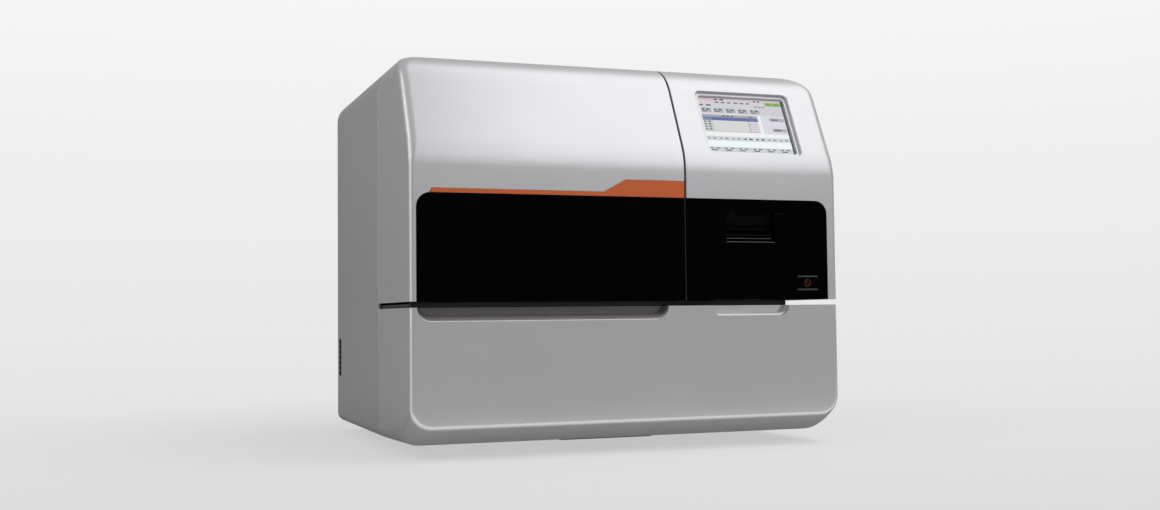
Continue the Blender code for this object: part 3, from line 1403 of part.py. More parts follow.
def make_rinse_cup():
    """The cup stands where the probe rests."""
    centre = (PROBE_X, PROBE_CARRIAGE_Y)
    rim = ON_DECK + RINSE_HEIGHT
    bm = cup(bmesh.new(), centre, "z", RINSE_RADIUS, RINSE_BORE, ON_DECK, rim, SHEET)
    return finish("rinse_cup", bm, white_plastic(), SMOOTH)


def make_tube_waste_box():
    half_x = WASTE_SIZE[0] / 2
    half_y = WASTE_SIZE[1] / 2
    top = ON_DECK + WASTE_RIM
    low = (WASTE_X - half_x, WASTE_Y - half_y, FLOOR + WASTE_ABOVE_FLOOR)
    high = (WASTE_X + half_x, WASTE_Y + half_y, top)
    obj = finish("tube_waste_box", box(bmesh.new(), low, high), white_plastic())
    rim = box(
        bmesh.new(),
        (low[0] - WASTE_RIM, low[1] - WASTE_RIM, ON_DECK),
        (high[0] + WASTE_RIM, high[1] + WASTE_RIM, top),
    )
    join(obj, rim)
    hollow = box(
        bmesh.new(),
        (low[0] + SHEET, low[1] + SHEET, low[2] + SHEET),
        (high[0] - SHEET, high[1] - SHEET, top + OVERRUN),
    )
    return cut(obj, hollow)


# Sampling arm on its rail
def make_x_rail():
    """The rail, with the block at its right end that carries the screw."""
    bm = box(bmesh.new(), (RAIL_LEFT, RAIL_FRONT, RAIL_LOW), (RAIL_RIGHT, RAIL_REAR, RAIL_HIGH))
    obj = finish("x_rail", bm, aluminium())
    start = RAIL_RIGHT - BEARING_LENGTH
    top = SCREW_ROD_Z + MOTOR_ABOVE
    join(obj, box(bmesh.new(), (start, RAIL_FRONT, RAIL_LOW), (RAIL_RIGHT, RAIL_REAR, top)))
    bore = SCREW_ROD_RADIUS + CLEAR
    centre = (SCREW_ROD_Y, SCREW_ROD_Z)
    end = RAIL_RIGHT - SHEET
    return cut(obj, cylinder(bmesh.new(), centre, "x", bore, start - OVERRUN, end, HINGE_SIDES))


def make_x_carriage():
    back = RAIL_FRONT - CLEAR
    hook = back + CARRIAGE_HOOK
    low = RAIL_LOW - CLEAR
    high = RAIL_HIGH + CLEAR
    nut_top = SCREW_ROD_Z + SCREW_ROD_RADIUS + CARRIAGE_WALL
    outline = [
        (CARRIAGE_FRONT, low - CARRIAGE_WALL),
        (hook, low - CARRIAGE_WALL),
        (hook, low),
        (back, low),
        (back, high),
        (SCREW_ROD_Y + CARRIAGE_WALL, high),
        (SCREW_ROD_Y + CARRIAGE_WALL, nut_top),
        (CARRIAGE_FRONT, nut_top),
    ]
    half = CARRIAGE_WIDTH / 2
    bm = prism(bmesh.new(), outline, "x", CARRIAGE_X - half, CARRIAGE_X + half)
    obj = finish("x_carriage", bm, aluminium())
    reach = half + OVERRUN
    centre = (SCREW_ROD_Y, SCREW_ROD_Z)
    bore = SCREW_ROD_RADIUS + CLEAR
    nut = cylinder(bmesh.new(), centre, "x", bore, CARRIAGE_X - reach, CARRIAGE_X + reach, HINGE_SIDES)
    cut(obj, nut)
    return set_origin(obj, (CARRIAGE_X, SCREW_ROD_Y, SCREW_ROD_Z))


def make_x_lead_screw():
    centre = (SCREW_ROD_Y, SCREW_ROD_Z)
    start = RAIL_LEFT + SHEET + CLEAR
    end = RAIL_RIGHT - SHEET - CLEAR
    bm = cylinder(bmesh.new(), centre, "x", SCREW_ROD_RADIUS, start, end, HINGE_SIDES)
    return set_origin(finish("x_lead_screw", bm, plated_steel(), SMOOTH), (0, *centre))


def make_x_drive_motor():
    """The motor that turns the screw, standing on the rail's left end."""
    half = RAIL_DEPTH / 2
    low = (RAIL_LEFT, SCREW_ROD_Y - half, RAIL_HIGH + CLEAR)
    high = (RAIL_LEFT + MOTOR_LENGTH, SCREW_ROD_Y + half, SCREW_ROD_Z + MOTOR_ABOVE)
    obj = finish("x_drive_motor", box(bmesh.new(), low, high), black_plastic())
    bore = SCREW_ROD_RADIUS + CLEAR
    start = RAIL_LEFT + SHEET
    end = high[0] + OVERRUN
    centre = (SCREW_ROD_Y, SCREW_ROD_Z)
    return cut(obj, cylinder(bmesh.new(), centre, "x", bore, start, end, HINGE_SIDES))


def make_y_arm():
    low = (ARM_LEFT, ARM_FRONT, RAIL_LOW)
    high = (ARM_RIGHT, CARRIAGE_FRONT - CLEAR, RAIL_HIGH)
    return finish("y_arm", box(bmesh.new(), low, high), aluminium())


def make_probe_carriage():
    left = ARM_LEFT - CLEAR
    hook = left + CARRIAGE_HOOK
    low = RAIL_LOW - CLEAR
    high = RAIL_HIGH + CLEAR
    outline = [
        (left - CARRIAGE_WALL, low - CARRIAGE_WALL),
        (hook, low - CARRIAGE_WALL),
        (hook, low),
        (left, low),
        (left, high),
        (hook, high),
        (hook, high + CARRIAGE_WALL),
        (left - CARRIAGE_WALL, high + CARRIAGE_WALL),
    ]
    half = PROBE_CARRIAGE_LENGTH / 2
    bm = prism(bmesh.new(), outline, "y", PROBE_CARRIAGE_Y - half, PROBE_CARRIAGE_Y + half)
    obj = finish("probe_carriage", bm, aluminium())
    return set_origin(obj, (ARM_LEFT, PROBE_CARRIAGE_Y, (RAIL_LOW + RAIL_HIGH) / 2))


def make_probe():
    half = HOLDER_DEPTH / 2
    low = (HOLDER_RIGHT - HOLDER_WIDTH, PROBE_CARRIAGE_Y - half, HOLDER_LOW)
    high = (HOLDER_RIGHT, PROBE_CARRIAGE_Y + half, HOLDER_HIGH)
    holder = finish("probe_holder", box(bmesh.new(), low, high), grey_plastic())
    centre = (PROBE_X, PROBE_CARRIAGE_Y)
    bore = PROBE_RADIUS + CLEAR
    ends = (HOLDER_LOW - OVERRUN, HOLDER_HIGH + OVERRUN)
    cut(holder, cylinder(bmesh.new(), centre, "z", bore, *ends, TUBE_SIDES))
    needle = cylinder(bmesh.new(), centre, "z", PROBE_RADIUS, PROBE_TIP, HOLDER_HIGH, TUBE_SIDES)
    finish("sample_probe", needle, plated_steel(), SMOOTH)
    return set_origin(holder, (PROBE_X, PROBE_CARRIAGE_Y, HOLDER_LOW))


# Units in the lower bay and behind the chamber
SYRINGE_INSET = 103 * MM
SYRINGE_BEHIND_WALL = 72 * MM
SYRINGE_BORE = 9 * MM
SYRINGE_LOW = 110 * MM
SYRINGE_HIGH = 190 * MM
SYRINGE_STAND = (46 * MM, 40 * MM, 40 * MM)
PLUNGER_RADIUS = 8.5 * MM
PLUNGER_ROD = 3 * MM
PUMP_X = -60 * MM
PUMP_BEFORE_REAR = 95 * MM
PUMP_SIZE = (90 * MM, 80 * MM, 60 * MM)
PUMP_MOTOR_RADIUS = 24 * MM
PUMP_MOTOR_HEIGHT = 60 * MM
SUPPLY_INSET = 38 * MM
SUPPLY_WIDTH = 190 * MM
SUPPLY_HEIGHT = 90 * MM
SUPPLY_BEHIND_WALL = 17 * MM
SUPPLY_BEFORE_PANEL = 35.8 * MM
BOARD_INSET = 73 * MM
BOARD_BELOW_TOP = 60 * MM
BOARD_WIDTH = 300 * MM
BOARD_HEIGHT = 220 * MM
BOARD_THICK = 1.6 * MM
STANDOFF = 10 * MM
STANDOFF_RADIUS = 3 * MM
SYRINGE_X = -HALF + SYRINGE_INSET
SYRINGE_Y = REAR_WALL_Y + SYRINGE_BEHIND_WALL
PUMP_Y = REAR - PUMP_BEFORE_REAR
SUPPLY_RIGHT = HALF - SUPPLY_INSET
BOARD_RIGHT = HALF - BOARD_INSET
BOARD_HIGH = BODY_HEIGHT - BOARD_BELOW_TOP
BOARD_LOW = BOARD_HIGH - BOARD_HEIGHT


def make_diluter():
    """A syringe pump: a glass-lined barrel open below, on a stand, with a plunger that rises into it."""
    half = (SYRINGE_STAND[0] / 2, SYRINGE_STAND[1] / 2)
    bottom = FLOOR + CLEAR
    centre = (SYRINGE_X, SYRINGE_Y)
    stand_top = bottom + SYRINGE_STAND[2]
    outline = [
        (SYRINGE_X - half[0], SYRINGE_Y - half[1]),
        (SYRINGE_X + half[0], SYRINGE_Y - half[1]),
        (SYRINGE_X + half[0], SYRINGE_Y + half[1]),
        (SYRINGE_X - half[0], SYRINGE_Y + half[1]),
    ]
    body = prism(bmesh.new(), outline, "z", bottom, SYRINGE_HIGH)
    obj = finish("diluter_body", body, grey_plastic())
    bay = box(
        bmesh.new(),
        (SYRINGE_X - half[0] + 2 * SHEET, SYRINGE_Y - half[1] - OVERRUN, stand_top - OVERRUN),
        (SYRINGE_X + half[0] - 2 * SHEET, SYRINGE_Y + half[1] - 2 * SHEET, SYRINGE_LOW),
    )
    cut(obj, bay)
    bore = cylinder(
        bmesh.new(), centre, "z", SYRINGE_BORE, SYRINGE_LOW - OVERRUN, SYRINGE_HIGH + OVERRUN
    )
    cut(obj, bore)
    head_low = SYRINGE_LOW + SHEET
    rod_low = stand_top - OVERRUN + CLEAR
    profile = [
        (rod_low, PLUNGER_RADIUS),
        (rod_low + SHEET, PLUNGER_RADIUS),
        (rod_low + SHEET, PLUNGER_ROD),
        (head_low, PLUNGER_ROD),
        (head_low, PLUNGER_RADIUS),
        (head_low + STANDOFF, PLUNGER_RADIUS),
    ]
    bm = turned(bmesh.new(), centre, "z", profile)
    return set_origin(finish("diluter_plunger", bm, aluminium(), SMOOTH), (*centre, rod_low))


def make_vacuum_pump():
    half = (PUMP_SIZE[0] / 2, PUMP_SIZE[1] / 2)
    bottom = FLOOR + CLEAR
    top = bottom + PUMP_SIZE[2]
    low = (PUMP_X - half[0], PUMP_Y - half[1], bottom)
    high = (PUMP_X + half[0], PUMP_Y + half[1], top)
    obj = finish("vacuum_pump", box(bmesh.new(), low, high), grey_plastic())
    motor = cylinder(
        bmesh.new(), (PUMP_X, PUMP_Y), "z", PUMP_MOTOR_RADIUS, top - SHEET, top + PUMP_MOTOR_HEIGHT
    )
    return join(obj, motor)


def make_power_supply():
    bottom = FLOOR + CLEAR
    low = (SUPPLY_RIGHT - SUPPLY_WIDTH, REAR_WALL_Y + SUPPLY_BEHIND_WALL, bottom)
    high = (SUPPLY_RIGHT, PANEL_INNER - SUPPLY_BEFORE_PANEL, bottom + SUPPLY_HEIGHT)
    return finish("power_supply", box(bmesh.new(), low, high), aluminium())


def make_main_board():
    """The control board stands on four posts behind the chamber's rear wall."""
    front = REAR_WALL_Y + SHEET + CLEAR
    start = front + STANDOFF
    low = (BOARD_RIGHT - BOARD_WIDTH, start, BOARD_LOW)
    high = (BOARD_RIGHT, start + BOARD_THICK, BOARD_HIGH)
    obj = finish("main_board", box(bmesh.new(), low, high), board_green())
    posts = bmesh.new()
    for x in (low[0] + STANDOFF, high[0] - STANDOFF):
        for z in (BOARD_LOW + STANDOFF, BOARD_HIGH - STANDOFF):
            cylinder(posts, (x, z), "y", STANDOFF_RADIUS, front, start + BOARD_THICK / 2, SCREW_SIDES)
    return join(obj, posts)


def clear_scene():
    for obj in list(bpy.data.objects):
        bpy.data.objects.remove(obj, do_unlink=True)


def main():
    clear_scene()
    make_light_shield_cover()
    make_cover_window()
    make_cover_stripe()
    make_hinge()
    make_display_cover()
    make_display()
    make_printer_window_panel()
    make_printer_cover()
    make_stop_button()
    make_lower_front_cover()
    make_main_cover()
    make_side_vent_grille()
    make_base_plate()
    make_feet()
    make_base_filter_tray()
    make_rear_panel()
    make_rear_screws()
    make_fan()
    make_power_inlet()
    make_power_rocker()
    make_interface_ports()
    make_side_plates()
    make_deck_plate()
    make_divider_wall()
    make_chamber_rear_wall()
    make_printer_frame()
    make_paper_roll()
    make_platen_roller()
    make_print_head()
    make_paper_outlet_guide()
    make_sample_rack()
    make_reagent_rack()
    make_reaction_tubes()
    make_detector_block()
    make_rinse_cup()
    make_tube_waste_box()
    make_x_rail()
    make_x_carriage()
    make_x_lead_screw()
    make_x_drive_motor()
    make_y_arm()
    make_probe_carriage()
    make_probe()
    make_diluter()
    make_vacuum_pump()
    make_power_supply()
    make_main_board()


main()
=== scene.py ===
"""Coagulation analyzer: the looks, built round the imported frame."""
from math import cos, radians, sin, sqrt, tau

import bmesh
import bpy
from mathutils import Matrix, Vector


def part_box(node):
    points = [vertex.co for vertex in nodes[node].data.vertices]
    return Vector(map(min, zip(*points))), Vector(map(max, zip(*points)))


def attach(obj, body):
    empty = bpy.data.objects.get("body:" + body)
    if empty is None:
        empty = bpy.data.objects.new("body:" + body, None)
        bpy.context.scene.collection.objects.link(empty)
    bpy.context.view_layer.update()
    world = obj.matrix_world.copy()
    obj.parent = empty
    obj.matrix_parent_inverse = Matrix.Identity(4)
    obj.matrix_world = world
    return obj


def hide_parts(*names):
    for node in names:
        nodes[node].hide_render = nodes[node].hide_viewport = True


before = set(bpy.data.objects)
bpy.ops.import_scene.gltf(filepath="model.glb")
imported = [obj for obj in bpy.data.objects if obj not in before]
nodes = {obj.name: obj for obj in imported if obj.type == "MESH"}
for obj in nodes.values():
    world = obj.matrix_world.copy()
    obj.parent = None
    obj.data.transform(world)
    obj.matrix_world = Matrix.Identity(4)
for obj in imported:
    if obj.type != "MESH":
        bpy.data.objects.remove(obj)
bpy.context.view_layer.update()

# Lengths are in millimetres, except for those of the camera, the lamps and the studio, in metres
MM = 0.001
SCENE = bpy.context.scene

# The display's slope, from the vertical
LEAN = radians(26)

# Finger grips of the lower cover: the wide one from the cover's left side to the cover split,
# the narrow one from the printer's door, both down from the cover's top
WIDE_GRIP_LEFT, WIDE_GRIP_RIGHT, WIDE_GRIP_LOW = 8, 23, 19.4
WIDE_GRIP_RADII = (18, 19)
NARROW_GRIP_LEFT, NARROW_GRIP_WIDTH, NARROW_GRIP_LOW = 0.3, 105.3, 15
NARROW_GRIP_RADII = (4, 12)
# A grip draws in and rises towards its back, and this share of both is reached at the face
GRIP_DRAW, GRIP_RISE = 5, 0.55
AT_FACE = 5 / 19


def corners(name):
    """Lowest and highest corner of a node of the frame, in millimetres."""
    return tuple(Vector(p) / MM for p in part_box(name))


def middle(name):
    low, high = corners(name)
    return (low + high) / 2


# Colours
def linear(code):
    """Linear values of a colour that is written as it looks on a screen."""
    values = [int(code[i : i + 2], 16) / 255 for i in (0, 2, 4)]
    return tuple(v / 12.92 if v <= 0.04045 else ((v + 0.055) / 1.055) ** 2.4 for v in values)


def grey(level):
    return linear("%02x%02x%02x" % ((round(level),) * 3))


def tint(colour, share):
    return tuple(c * share for c in colour)


def opaque(colour):
    """A colour as a node takes it: a socket as it is, three values with full alpha."""
    return colour if isinstance(colour, bpy.types.NodeSocket) else (*colour, 1)


# Camera at the photograph's angle
PHOTO_WIDTH = 1160
FOCAL_PIXELS = 1302.2
SENSOR_WIDTH = 36
CAMERA_PLACE = (-0.6124, -1.7199, 0.1678)
CAMERA_YAW, CAMERA_PITCH, CAMERA_ROLL = (radians(a) for a in (20.09, 2.67, -0.60))
CLIP_NEAR, CLIP_FAR = 0.05, 80


def make_camera():
    across, ahead = sin(CAMERA_YAW), cos(CAMERA_YAW)
    flat = cos(CAMERA_PITCH)
    forward = Vector((across * flat, ahead * flat, sin(CAMERA_PITCH)))
    level = Vector((ahead, -across, 0))
    up = level.cross(forward)
    right = level * cos(CAMERA_ROLL) + up * sin(CAMERA_ROLL)
    top = up * cos(CAMERA_ROLL) - level * sin(CAMERA_ROLL)
    data = bpy.data.cameras.new("camera")
    data.sensor_fit = "HORIZONTAL"
    data.sensor_width = SENSOR_WIDTH
    data.lens = SENSOR_WIDTH * FOCAL_PIXELS / PHOTO_WIDTH
    data.clip_start, data.clip_end = CLIP_NEAR, CLIP_FAR
    camera = bpy.data.objects.new("camera", data)
    rows = Matrix((right, top, -forward)).transposed()
    camera.matrix_world = Matrix.Translation(CAMERA_PLACE) @ rows.to_4x4()
    SCENE.collection.objects.link(camera)
    SCENE.camera = camera


# Node helpers for the materials
NOISE_LOW, NOISE_HIGH = 0.3, 0.7


class Tree:
    def __init__(self, tree, owner):
        self.tree = tree
        self.owner = owner
        tree.nodes.clear()

    def add(self, kind, inputs=None, **settings):
        node = self.tree.nodes.new("ShaderNode" + kind)
        for key, value in settings.items():
            setattr(node, key, value)
        for key, value in (inputs or {}).items():
            if isinstance(value, bpy.types.NodeSocket):
                self.tree.links.new(value, node.inputs[key])
            else:
                node.inputs[key].default_value = value
        return node

    def finish(self, shader, kind="OutputMaterial"):
        self.tree.links.new(shader.outputs[0], self.add(kind).inputs[0])

    def maths(self, operation, a, b=0.5):
        return self.add("Math", {0: a, 1: b}, operation=operation).outputs[0]

    def length(self, a, b):
        squares = [self.maths("MULTIPLY", side, side) for side in (a, b)]
        return self.maths("SQRT", self.maths("ADD", *squares))

    def mix(self, factor, a, b, blend="MIX"):
        inputs = {0: factor, 6: opaque(a), 7: opaque(b)}
        return self.add("Mix", inputs, data_type="RGBA", blend_type=blend).outputs[2]

    def dim(self, colour, level):
        """The colour times a level that is itself a socket."""
        grey_level = self.add("CombineColor", {i: level for i in range(3)}).outputs[0]
        return self.mix(1.0, colour, grey_level, "MULTIPLY")

    def noise(self, scale, detail=2.0, rough=0.5, vector=None):
        vector = vector or self.place()
        inputs = {"Vector": vector, "Scale": scale, "Detail": detail, "Roughness": rough}
        return self.add("TexNoise", inputs).outputs[0]

    def remap(self, value, low, high, to_low, to_high):
        inputs = {0: value, 1: low, 2: high, 3: to_low, 4: to_high}
        return self.add("MapRange", inputs).outputs[0]

    def spread(self, noise, low=0.0, high=1.0):
        """A noise's usual range carried to another one."""
        return self.remap(noise, NOISE_LOW, NOISE_HIGH, low, high)

    def dapple(self, noise, colour, dark, light):
        """By a noise, a colour between two shares of itself."""
        return self.mix(self.spread(noise), tint(colour, dark), tint(colour, light))

    def ramp(self, factor, stops):
        node = self.add("ValToRGB", {0: factor})
        elements = node.color_ramp.elements
        while len(elements) < len(stops):
            elements.new(0.5)
        for element, (place, value) in zip(elements, stops):
            element.position = place
            element.color = opaque(value)
        return node.outputs[0]

    def place(self):
        return self.add("TexCoord").outputs["Object"]

    def stretched(self, scale):
        return self.add("Mapping", {"Vector": self.place(), "Scale": scale}).outputs[0]

    def split(self, vector):
        return tuple(self.add("SeparateXYZ", {0: vector}).outputs)

    def seen(self):
        """One for rays straight from the camera or through something clear, and the light path's outputs."""
        ray = self.add("LightPath").outputs
        return self.maths("MAXIMUM", ray["Is Camera Ray"], ray["Is Transmission Ray"]), ray


def new_material(name):
    mat = bpy.data.materials.new(name)
    mat.use_nodes = True
    return Tree(mat.node_tree, mat)


def surface(t, colour, roughness, bump=None, **constants):
    """A material whose colour, roughness and normal may be linked, and whose rest stays constant."""
    inputs = {"Base Color": opaque(colour), "Roughness": roughness}
    inputs.update({key.replace("_", " "): value for key, value in constants.items()})
    shader = t.add("BsdfPrincipled", inputs)
    if bump is not None:
        height, strength, distance = bump
        node = t.add("Bump", {"Height": height, "Strength": strength, "Distance": distance})
        t.tree.links.new(node.outputs[0], shader.inputs["Normal"])
    t.finish(shader)
    return t.owner


def silver_paint(name, colour, roughness=0.3, shade=None):
    """Metallic paint; shade gives the shares of the colour left at the top and bottom of the wide grip, as
    painted shade and painted light.
    """
    t = new_material(name)
    tone = t.dapple(t.noise(1900, 1.0), colour, 0.98, 1.02)
    cloud = t.remap(t.noise(6), 0.35, 0.65, 0, 0.05)
    tone = t.mix(cloud, tone, tint(colour, 0.9))
    if shade is not None:
        tone = grip_shade(t, tone, *shade)
    rough = t.spread(t.noise(12), roughness - 0.015, roughness + 0.02)
    return surface(t, tone, rough, (t.noise(500, 1.0), 0.02, 0.0002), Metallic=0.5)


# Painted shade and painted light inside the grips: behind this depth, between these heights below the
# cover's top
GRIP_SKIN = 1.0
WIDE_SPAN, NARROW_SPAN = (19, 8), (13, 8)
NARROW_PAINTED_LIGHT = (1.7, 1.45)
WARMTH = (1, 0.98, 0.95)


def grip_shade(t, tone, top_share, bottom_share):
    """Inside the wide finger grip, painted shade darkens the top and painted light brightens the bottom; the
    narrow one gets painted light.
    """
    low, high = corners("lower_front_cover")
    split = corners("light_shield_cover")[1].x
    x, y, z = t.split(t.place())

    def past(way, limit):
        return t.maths("GREATER_THAN", way, limit * MM)

    def graded(span, shares):
        return t.remap(z, (high.z - span[0]) * MM, (high.z - span[1]) * MM, *shares)

    within = t.maths("MULTIPLY", past(y, low.y + GRIP_SKIN), past(x, low.x + WIDE_GRIP_LEFT))
    within = t.maths("MULTIPLY", within, past(z, high.z - WIDE_GRIP_LOW))
    # Painted shade, tinted warm, over the wide grip, and painted light over the narrow one
    painted_shade = t.dim(t.mix(1.0, tone, WARMTH, "MULTIPLY"), graded(WIDE_SPAN, (bottom_share, top_share)))
    painted_light = t.dim(tone, graded(NARROW_SPAN, NARROW_PAINTED_LIGHT))
    return t.mix(within, tone, t.mix(past(x, split), painted_shade, painted_light))


# Other materials
def gloss_black(name, colour=(0.0009, 0.0009, 0.001), rough=0.12, level=0.02):
    """Black plastic with a gloss, faint smudges and a few specks of dust."""
    t = new_material(name)
    smudge = t.remap(t.noise(18, 4.0), 0.4, 0.75, rough - 0.03, rough + 0.06)
    speck = t.remap(t.noise(900, 1.0), 0.68, 0.8, 0, 0.5)
    tone = t.mix(speck, colour, tint(colour, 2.2))
    return surface(t, tone, smudge, (t.noise(60), 0.02, 0.0004), Specular_IOR_Level=level)


def moulded(name, colour, roughness=0.5, grain=1400, strength=0.18, spread=0.12, level=0.5):
    """Textured moulded plastic."""
    t = new_material(name)
    fine = t.noise(grain)
    tone = t.dapple(t.noise(25, 3.0), colour, 1 - spread, 1 + spread)
    rough = t.spread(fine, roughness - 0.06, roughness + 0.06)
    return surface(t, tone, rough, (fine, strength, 0.0003), Specular_IOR_Level=level)


def plated(name, colour=(0.5, 0.51, 0.53), roughness=0.36):
    """Zinc-plated sheet with its crystal pattern."""
    t = new_material(name)
    place = t.place()
    crystal = t.add("TexVoronoi", {"Vector": place, "Scale": 170}).outputs["Color"]
    share = t.add("SeparateColor", {0: crystal}).outputs[0]
    tone = t.mix(share, tint(colour, 0.88), tint(colour, 1.08))
    stain = t.remap(t.noise(9, 3.0), 0.4, 0.7, 0, 0.25)
    tone = t.mix(stain, tone, tint(colour, 0.75))
    rough = t.remap(share, 0, 1, roughness - 0.07, roughness + 0.09)
    return surface(t, tone, rough, (t.noise(700), 0.05, 0.0002), Metallic=0.9)


def brushed(name, colour=(0.66, 0.66, 0.67), roughness=0.3, along=(30, 900, 900)):
    """Metal with fine lines along one direction."""
    t = new_material(name)
    lines = t.noise(1.0, 3.0, 0.6, t.stretched(along))
    tone = t.dapple(lines, colour, 0.86, 1.06)
    fine = t.spread(lines, roughness - 0.08, roughness + 0.06)
    wide = t.spread(t.noise(12), 0, 0.05)
    return surface(t, tone, t.maths("ADD", fine, wide), (lines, 0.12, 0.0002), Metallic=0.95)


def clear(name, colour=(0.93, 0.96, 0.97), roughness=0.04, share=0.9):
    """Glass or clear plastic with faint clouds and wipe marks."""
    t = new_material(name)
    tone = t.mix(t.noise(20), colour, tint(colour, 0.95))
    rough = t.spread(t.noise(60, 3.0), roughness, roughness + 0.06)
    return surface(t, tone, rough, Transmission_Weight=share, IOR=1.46)


def orange_film():
    t = new_material("orange_film_print")
    dots = t.noise(2600, 1.0)
    tone = t.dapple(dots, linear("cf5f22"), 0.93, 1.05)
    return surface(t, tone, t.spread(t.noise(50), 0.38, 0.5), (dots, 0.03, 0.0001))


def paper_white():
    """Paper with its fibres, and with the rings of a wound roll about the roll's own axis."""
    t = new_material("thermal_paper")
    base = linear("ece9e0")
    roll = middle("paper_roll") * MM
    _, y, z = t.split(t.place())
    radius = t.length(t.maths("SUBTRACT", y, roll.y), t.maths("SUBTRACT", z, roll.z))
    ring = t.maths("SINE", t.maths("MULTIPLY", radius, 14000))
    fibre = t.noise(1.0, 4.0, vector=t.stretched((500, 2200, 500)))
    tone = t.dapple(fibre, base, 0.95, 1.0)
    tone = t.mix(t.remap(ring, 0.2, 1, 0, 0.2), tone, tint(base, 0.7))
    return surface(t, tone, 0.78, (fibre, 0.1, 0.0001))


def board_green():
    """Solder mask over a grid of tracks, with small plated holes."""
    t = new_material("circuit_board_green")
    place = t.place()
    base = linear("1d5a34")
    turned = t.add("Mapping", {"Vector": place, "Rotation": (radians(90), 0, 0)}).outputs[0]
    tones = {"Color1": opaque(base), "Color2": opaque(tint(base, 1.15)), "Mortar": opaque(tint(base, 1.9))}
    cells = t.add("TexBrick", {"Vector": turned, "Scale": 90, "Mortar Size": 0.035, **tones})
    holes = t.add("TexVoronoi", {"Vector": turned, "Scale": 160}).outputs["Distance"]
    tone = t.mix(t.remap(holes, 0.1, 0.16, 0.7, 0), cells.outputs[0], linear("b9b48c"))
    return surface(t, tone, t.spread(t.noise(80), 0.35, 0.5), (t.noise(400), 0.05, 0.0002))


def lit(name, code):
    """A patch of the screen's picture, lit from behind through a fine pixel grid."""
    t = new_material(name)
    colour = linear(code)
    mask = t.noise(3400, 0.0)
    tone = t.mix(t.remap(mask, 0.35, 0.65, 0, 1), tint(colour, 0.94), colour)
    rough = t.spread(mask, 0.16, 0.22)
    mat = surface(t, tint(colour, 0.08), rough, Emission_Color=tone, Emission_Strength=0.82)
    mat.cycles.emission_sampling = "NONE"
    return mat


def make_materials():
    return {
        "silver_cover": silver_paint("silver_paint_covers", (0.60, 0.60, 0.615), 0.35),
        # The lower cover carries the painted shade and painted light of its finger grips
        "silver_lower": silver_paint("silver_paint_lower", (0.62, 0.61, 0.616), shade=(0.27, 1.3)),
        "silver_main": silver_paint("silver_paint_main", (0.53, 0.535, 0.55)),
        "lip": silver_paint("silver_paint_lips", (0.47, 0.465, 0.47)),
        "gloss": gloss_black("black_gloss_panel"),
        "button": gloss_black("black_gloss_button", (0.001, 0.001, 0.001), 0.2, 0.03),
        # The button's rim is painted grey as highlight lines on the black key
        "rim": moulded("button_rim_painted_highlight", (0.09, 0.085, 0.085), 0.3, 2200, 0.04),
        "rim_top": moulded("button_rim_top_painted_highlight", (0.03, 0.028, 0.028), 0.3, 2200, 0.04, level=0.3),
        "tear": brushed("tear_bar_steel", (0.16, 0.16, 0.165), 0.4, (900, 60, 60)),
        "black": moulded("black_moulded", (0.018, 0.018, 0.019)),
        # The outlet guide is painted darker than the other black mouldings, as shade inside the paper outlet
        "throat": moulded("black_throat_painted_shade", (0.002, 0.002, 0.0022), 0.4, level=0.05),
        "rocker": moulded("black_rocker", (0.014, 0.014, 0.014), 0.3, 2200, 0.05),
        "deck": moulded("black_deck", (0.013, 0.013, 0.014), 0.42, 1800, 0.1, level=0.4),
        "rubber": moulded("rubber_black", (0.022, 0.022, 0.022), 0.8, 900, 0.3),
        "grey": moulded("grey_moulded", (0.28, 0.29, 0.3)),
        "grey_dark": moulded("grey_dark_moulded", (0.1, 0.105, 0.115), 0.48),
        "white": moulded("white_moulded", (0.72, 0.72, 0.7), 0.42, 1400, 0.08, 0.03),
        "steel": plated("zinc_steel"),
        "bright": brushed("bright_steel", (0.7, 0.7, 0.71), 0.2, (400, 400, 60)),
        "aluminium": brushed("brushed_aluminium"),
        "orange": orange_film(),
        "paper": paper_white(),
        "board": board_green(),
        "bezel": moulded("screen_bezel", linear("b4b6ba"), 0.3, 2600, 0.03, 0.02),
        "clear": clear("clear_cup_plastic"),
        "glass": clear("tube_glass", (0.95, 0.98, 0.98), 0.02, 0.95),
        "plasma": clear("plasma_yellow", (0.86, 0.62, 0.2), 0.1, 0.55),
        "blood": moulded("blood_red", (0.13, 0.006, 0.006), 0.25, 400, 0.0, 0.1),
        "cap": moulded("cap_blue", linear("4f9ed6"), 0.4, 1500, 0.06, 0.04),
        "label": moulded("label_white", linear("e8e8e4"), 0.55, 2500, 0.03, 0.02),
        "amber": clear("amber_glass", (0.5, 0.22, 0.05), 0.05, 0.75),
        "stopper": moulded("stopper_grey", (0.3, 0.29, 0.28), 0.7, 900, 0.1),
        "chip": moulded("chip_black", (0.012, 0.012, 0.012), 0.42, 2600, 0.05),
        "gold": brushed("gold_contacts", (0.75, 0.55, 0.2), 0.28, (900, 900, 90)),
        "connector": moulded("connector_cream", (0.6, 0.58, 0.5), 0.45),
        "icon": moulded("icon_red", linear("6b3a34"), 0.5, 2600, 0.02, 0.04, 0.1),
    }


# Mesh helpers
def add_bevel(obj, width, limit):
    modifier = obj.modifiers.new("edges", "BEVEL")
    modifier.width = width * MM
    modifier.segments = 2
    modifier.limit_method = "ANGLE"
    modifier.angle_limit = radians(limit)
    modifier.harden_normals = True


def to_object(name, bm, mats, body, smooth=35.0, bevel=0.0):
    mesh = bpy.data.meshes.new(name)
    bmesh.ops.scale(bm, vec=(MM, MM, MM), verts=bm.verts)
    bm.to_mesh(mesh)
    bm.free()
    for mat in mats if isinstance(mats, (list, tuple)) else [mats]:
        mesh.materials.append(mat)
    mesh.shade_smooth()
    mesh.set_sharp_from_angle(angle=radians(smooth))
    obj = bpy.data.objects.new(name, mesh)
    SCENE.collection.objects.link(obj)
    if bevel:
        add_bevel(obj, bevel, 30)
    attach(obj, body)
    return obj


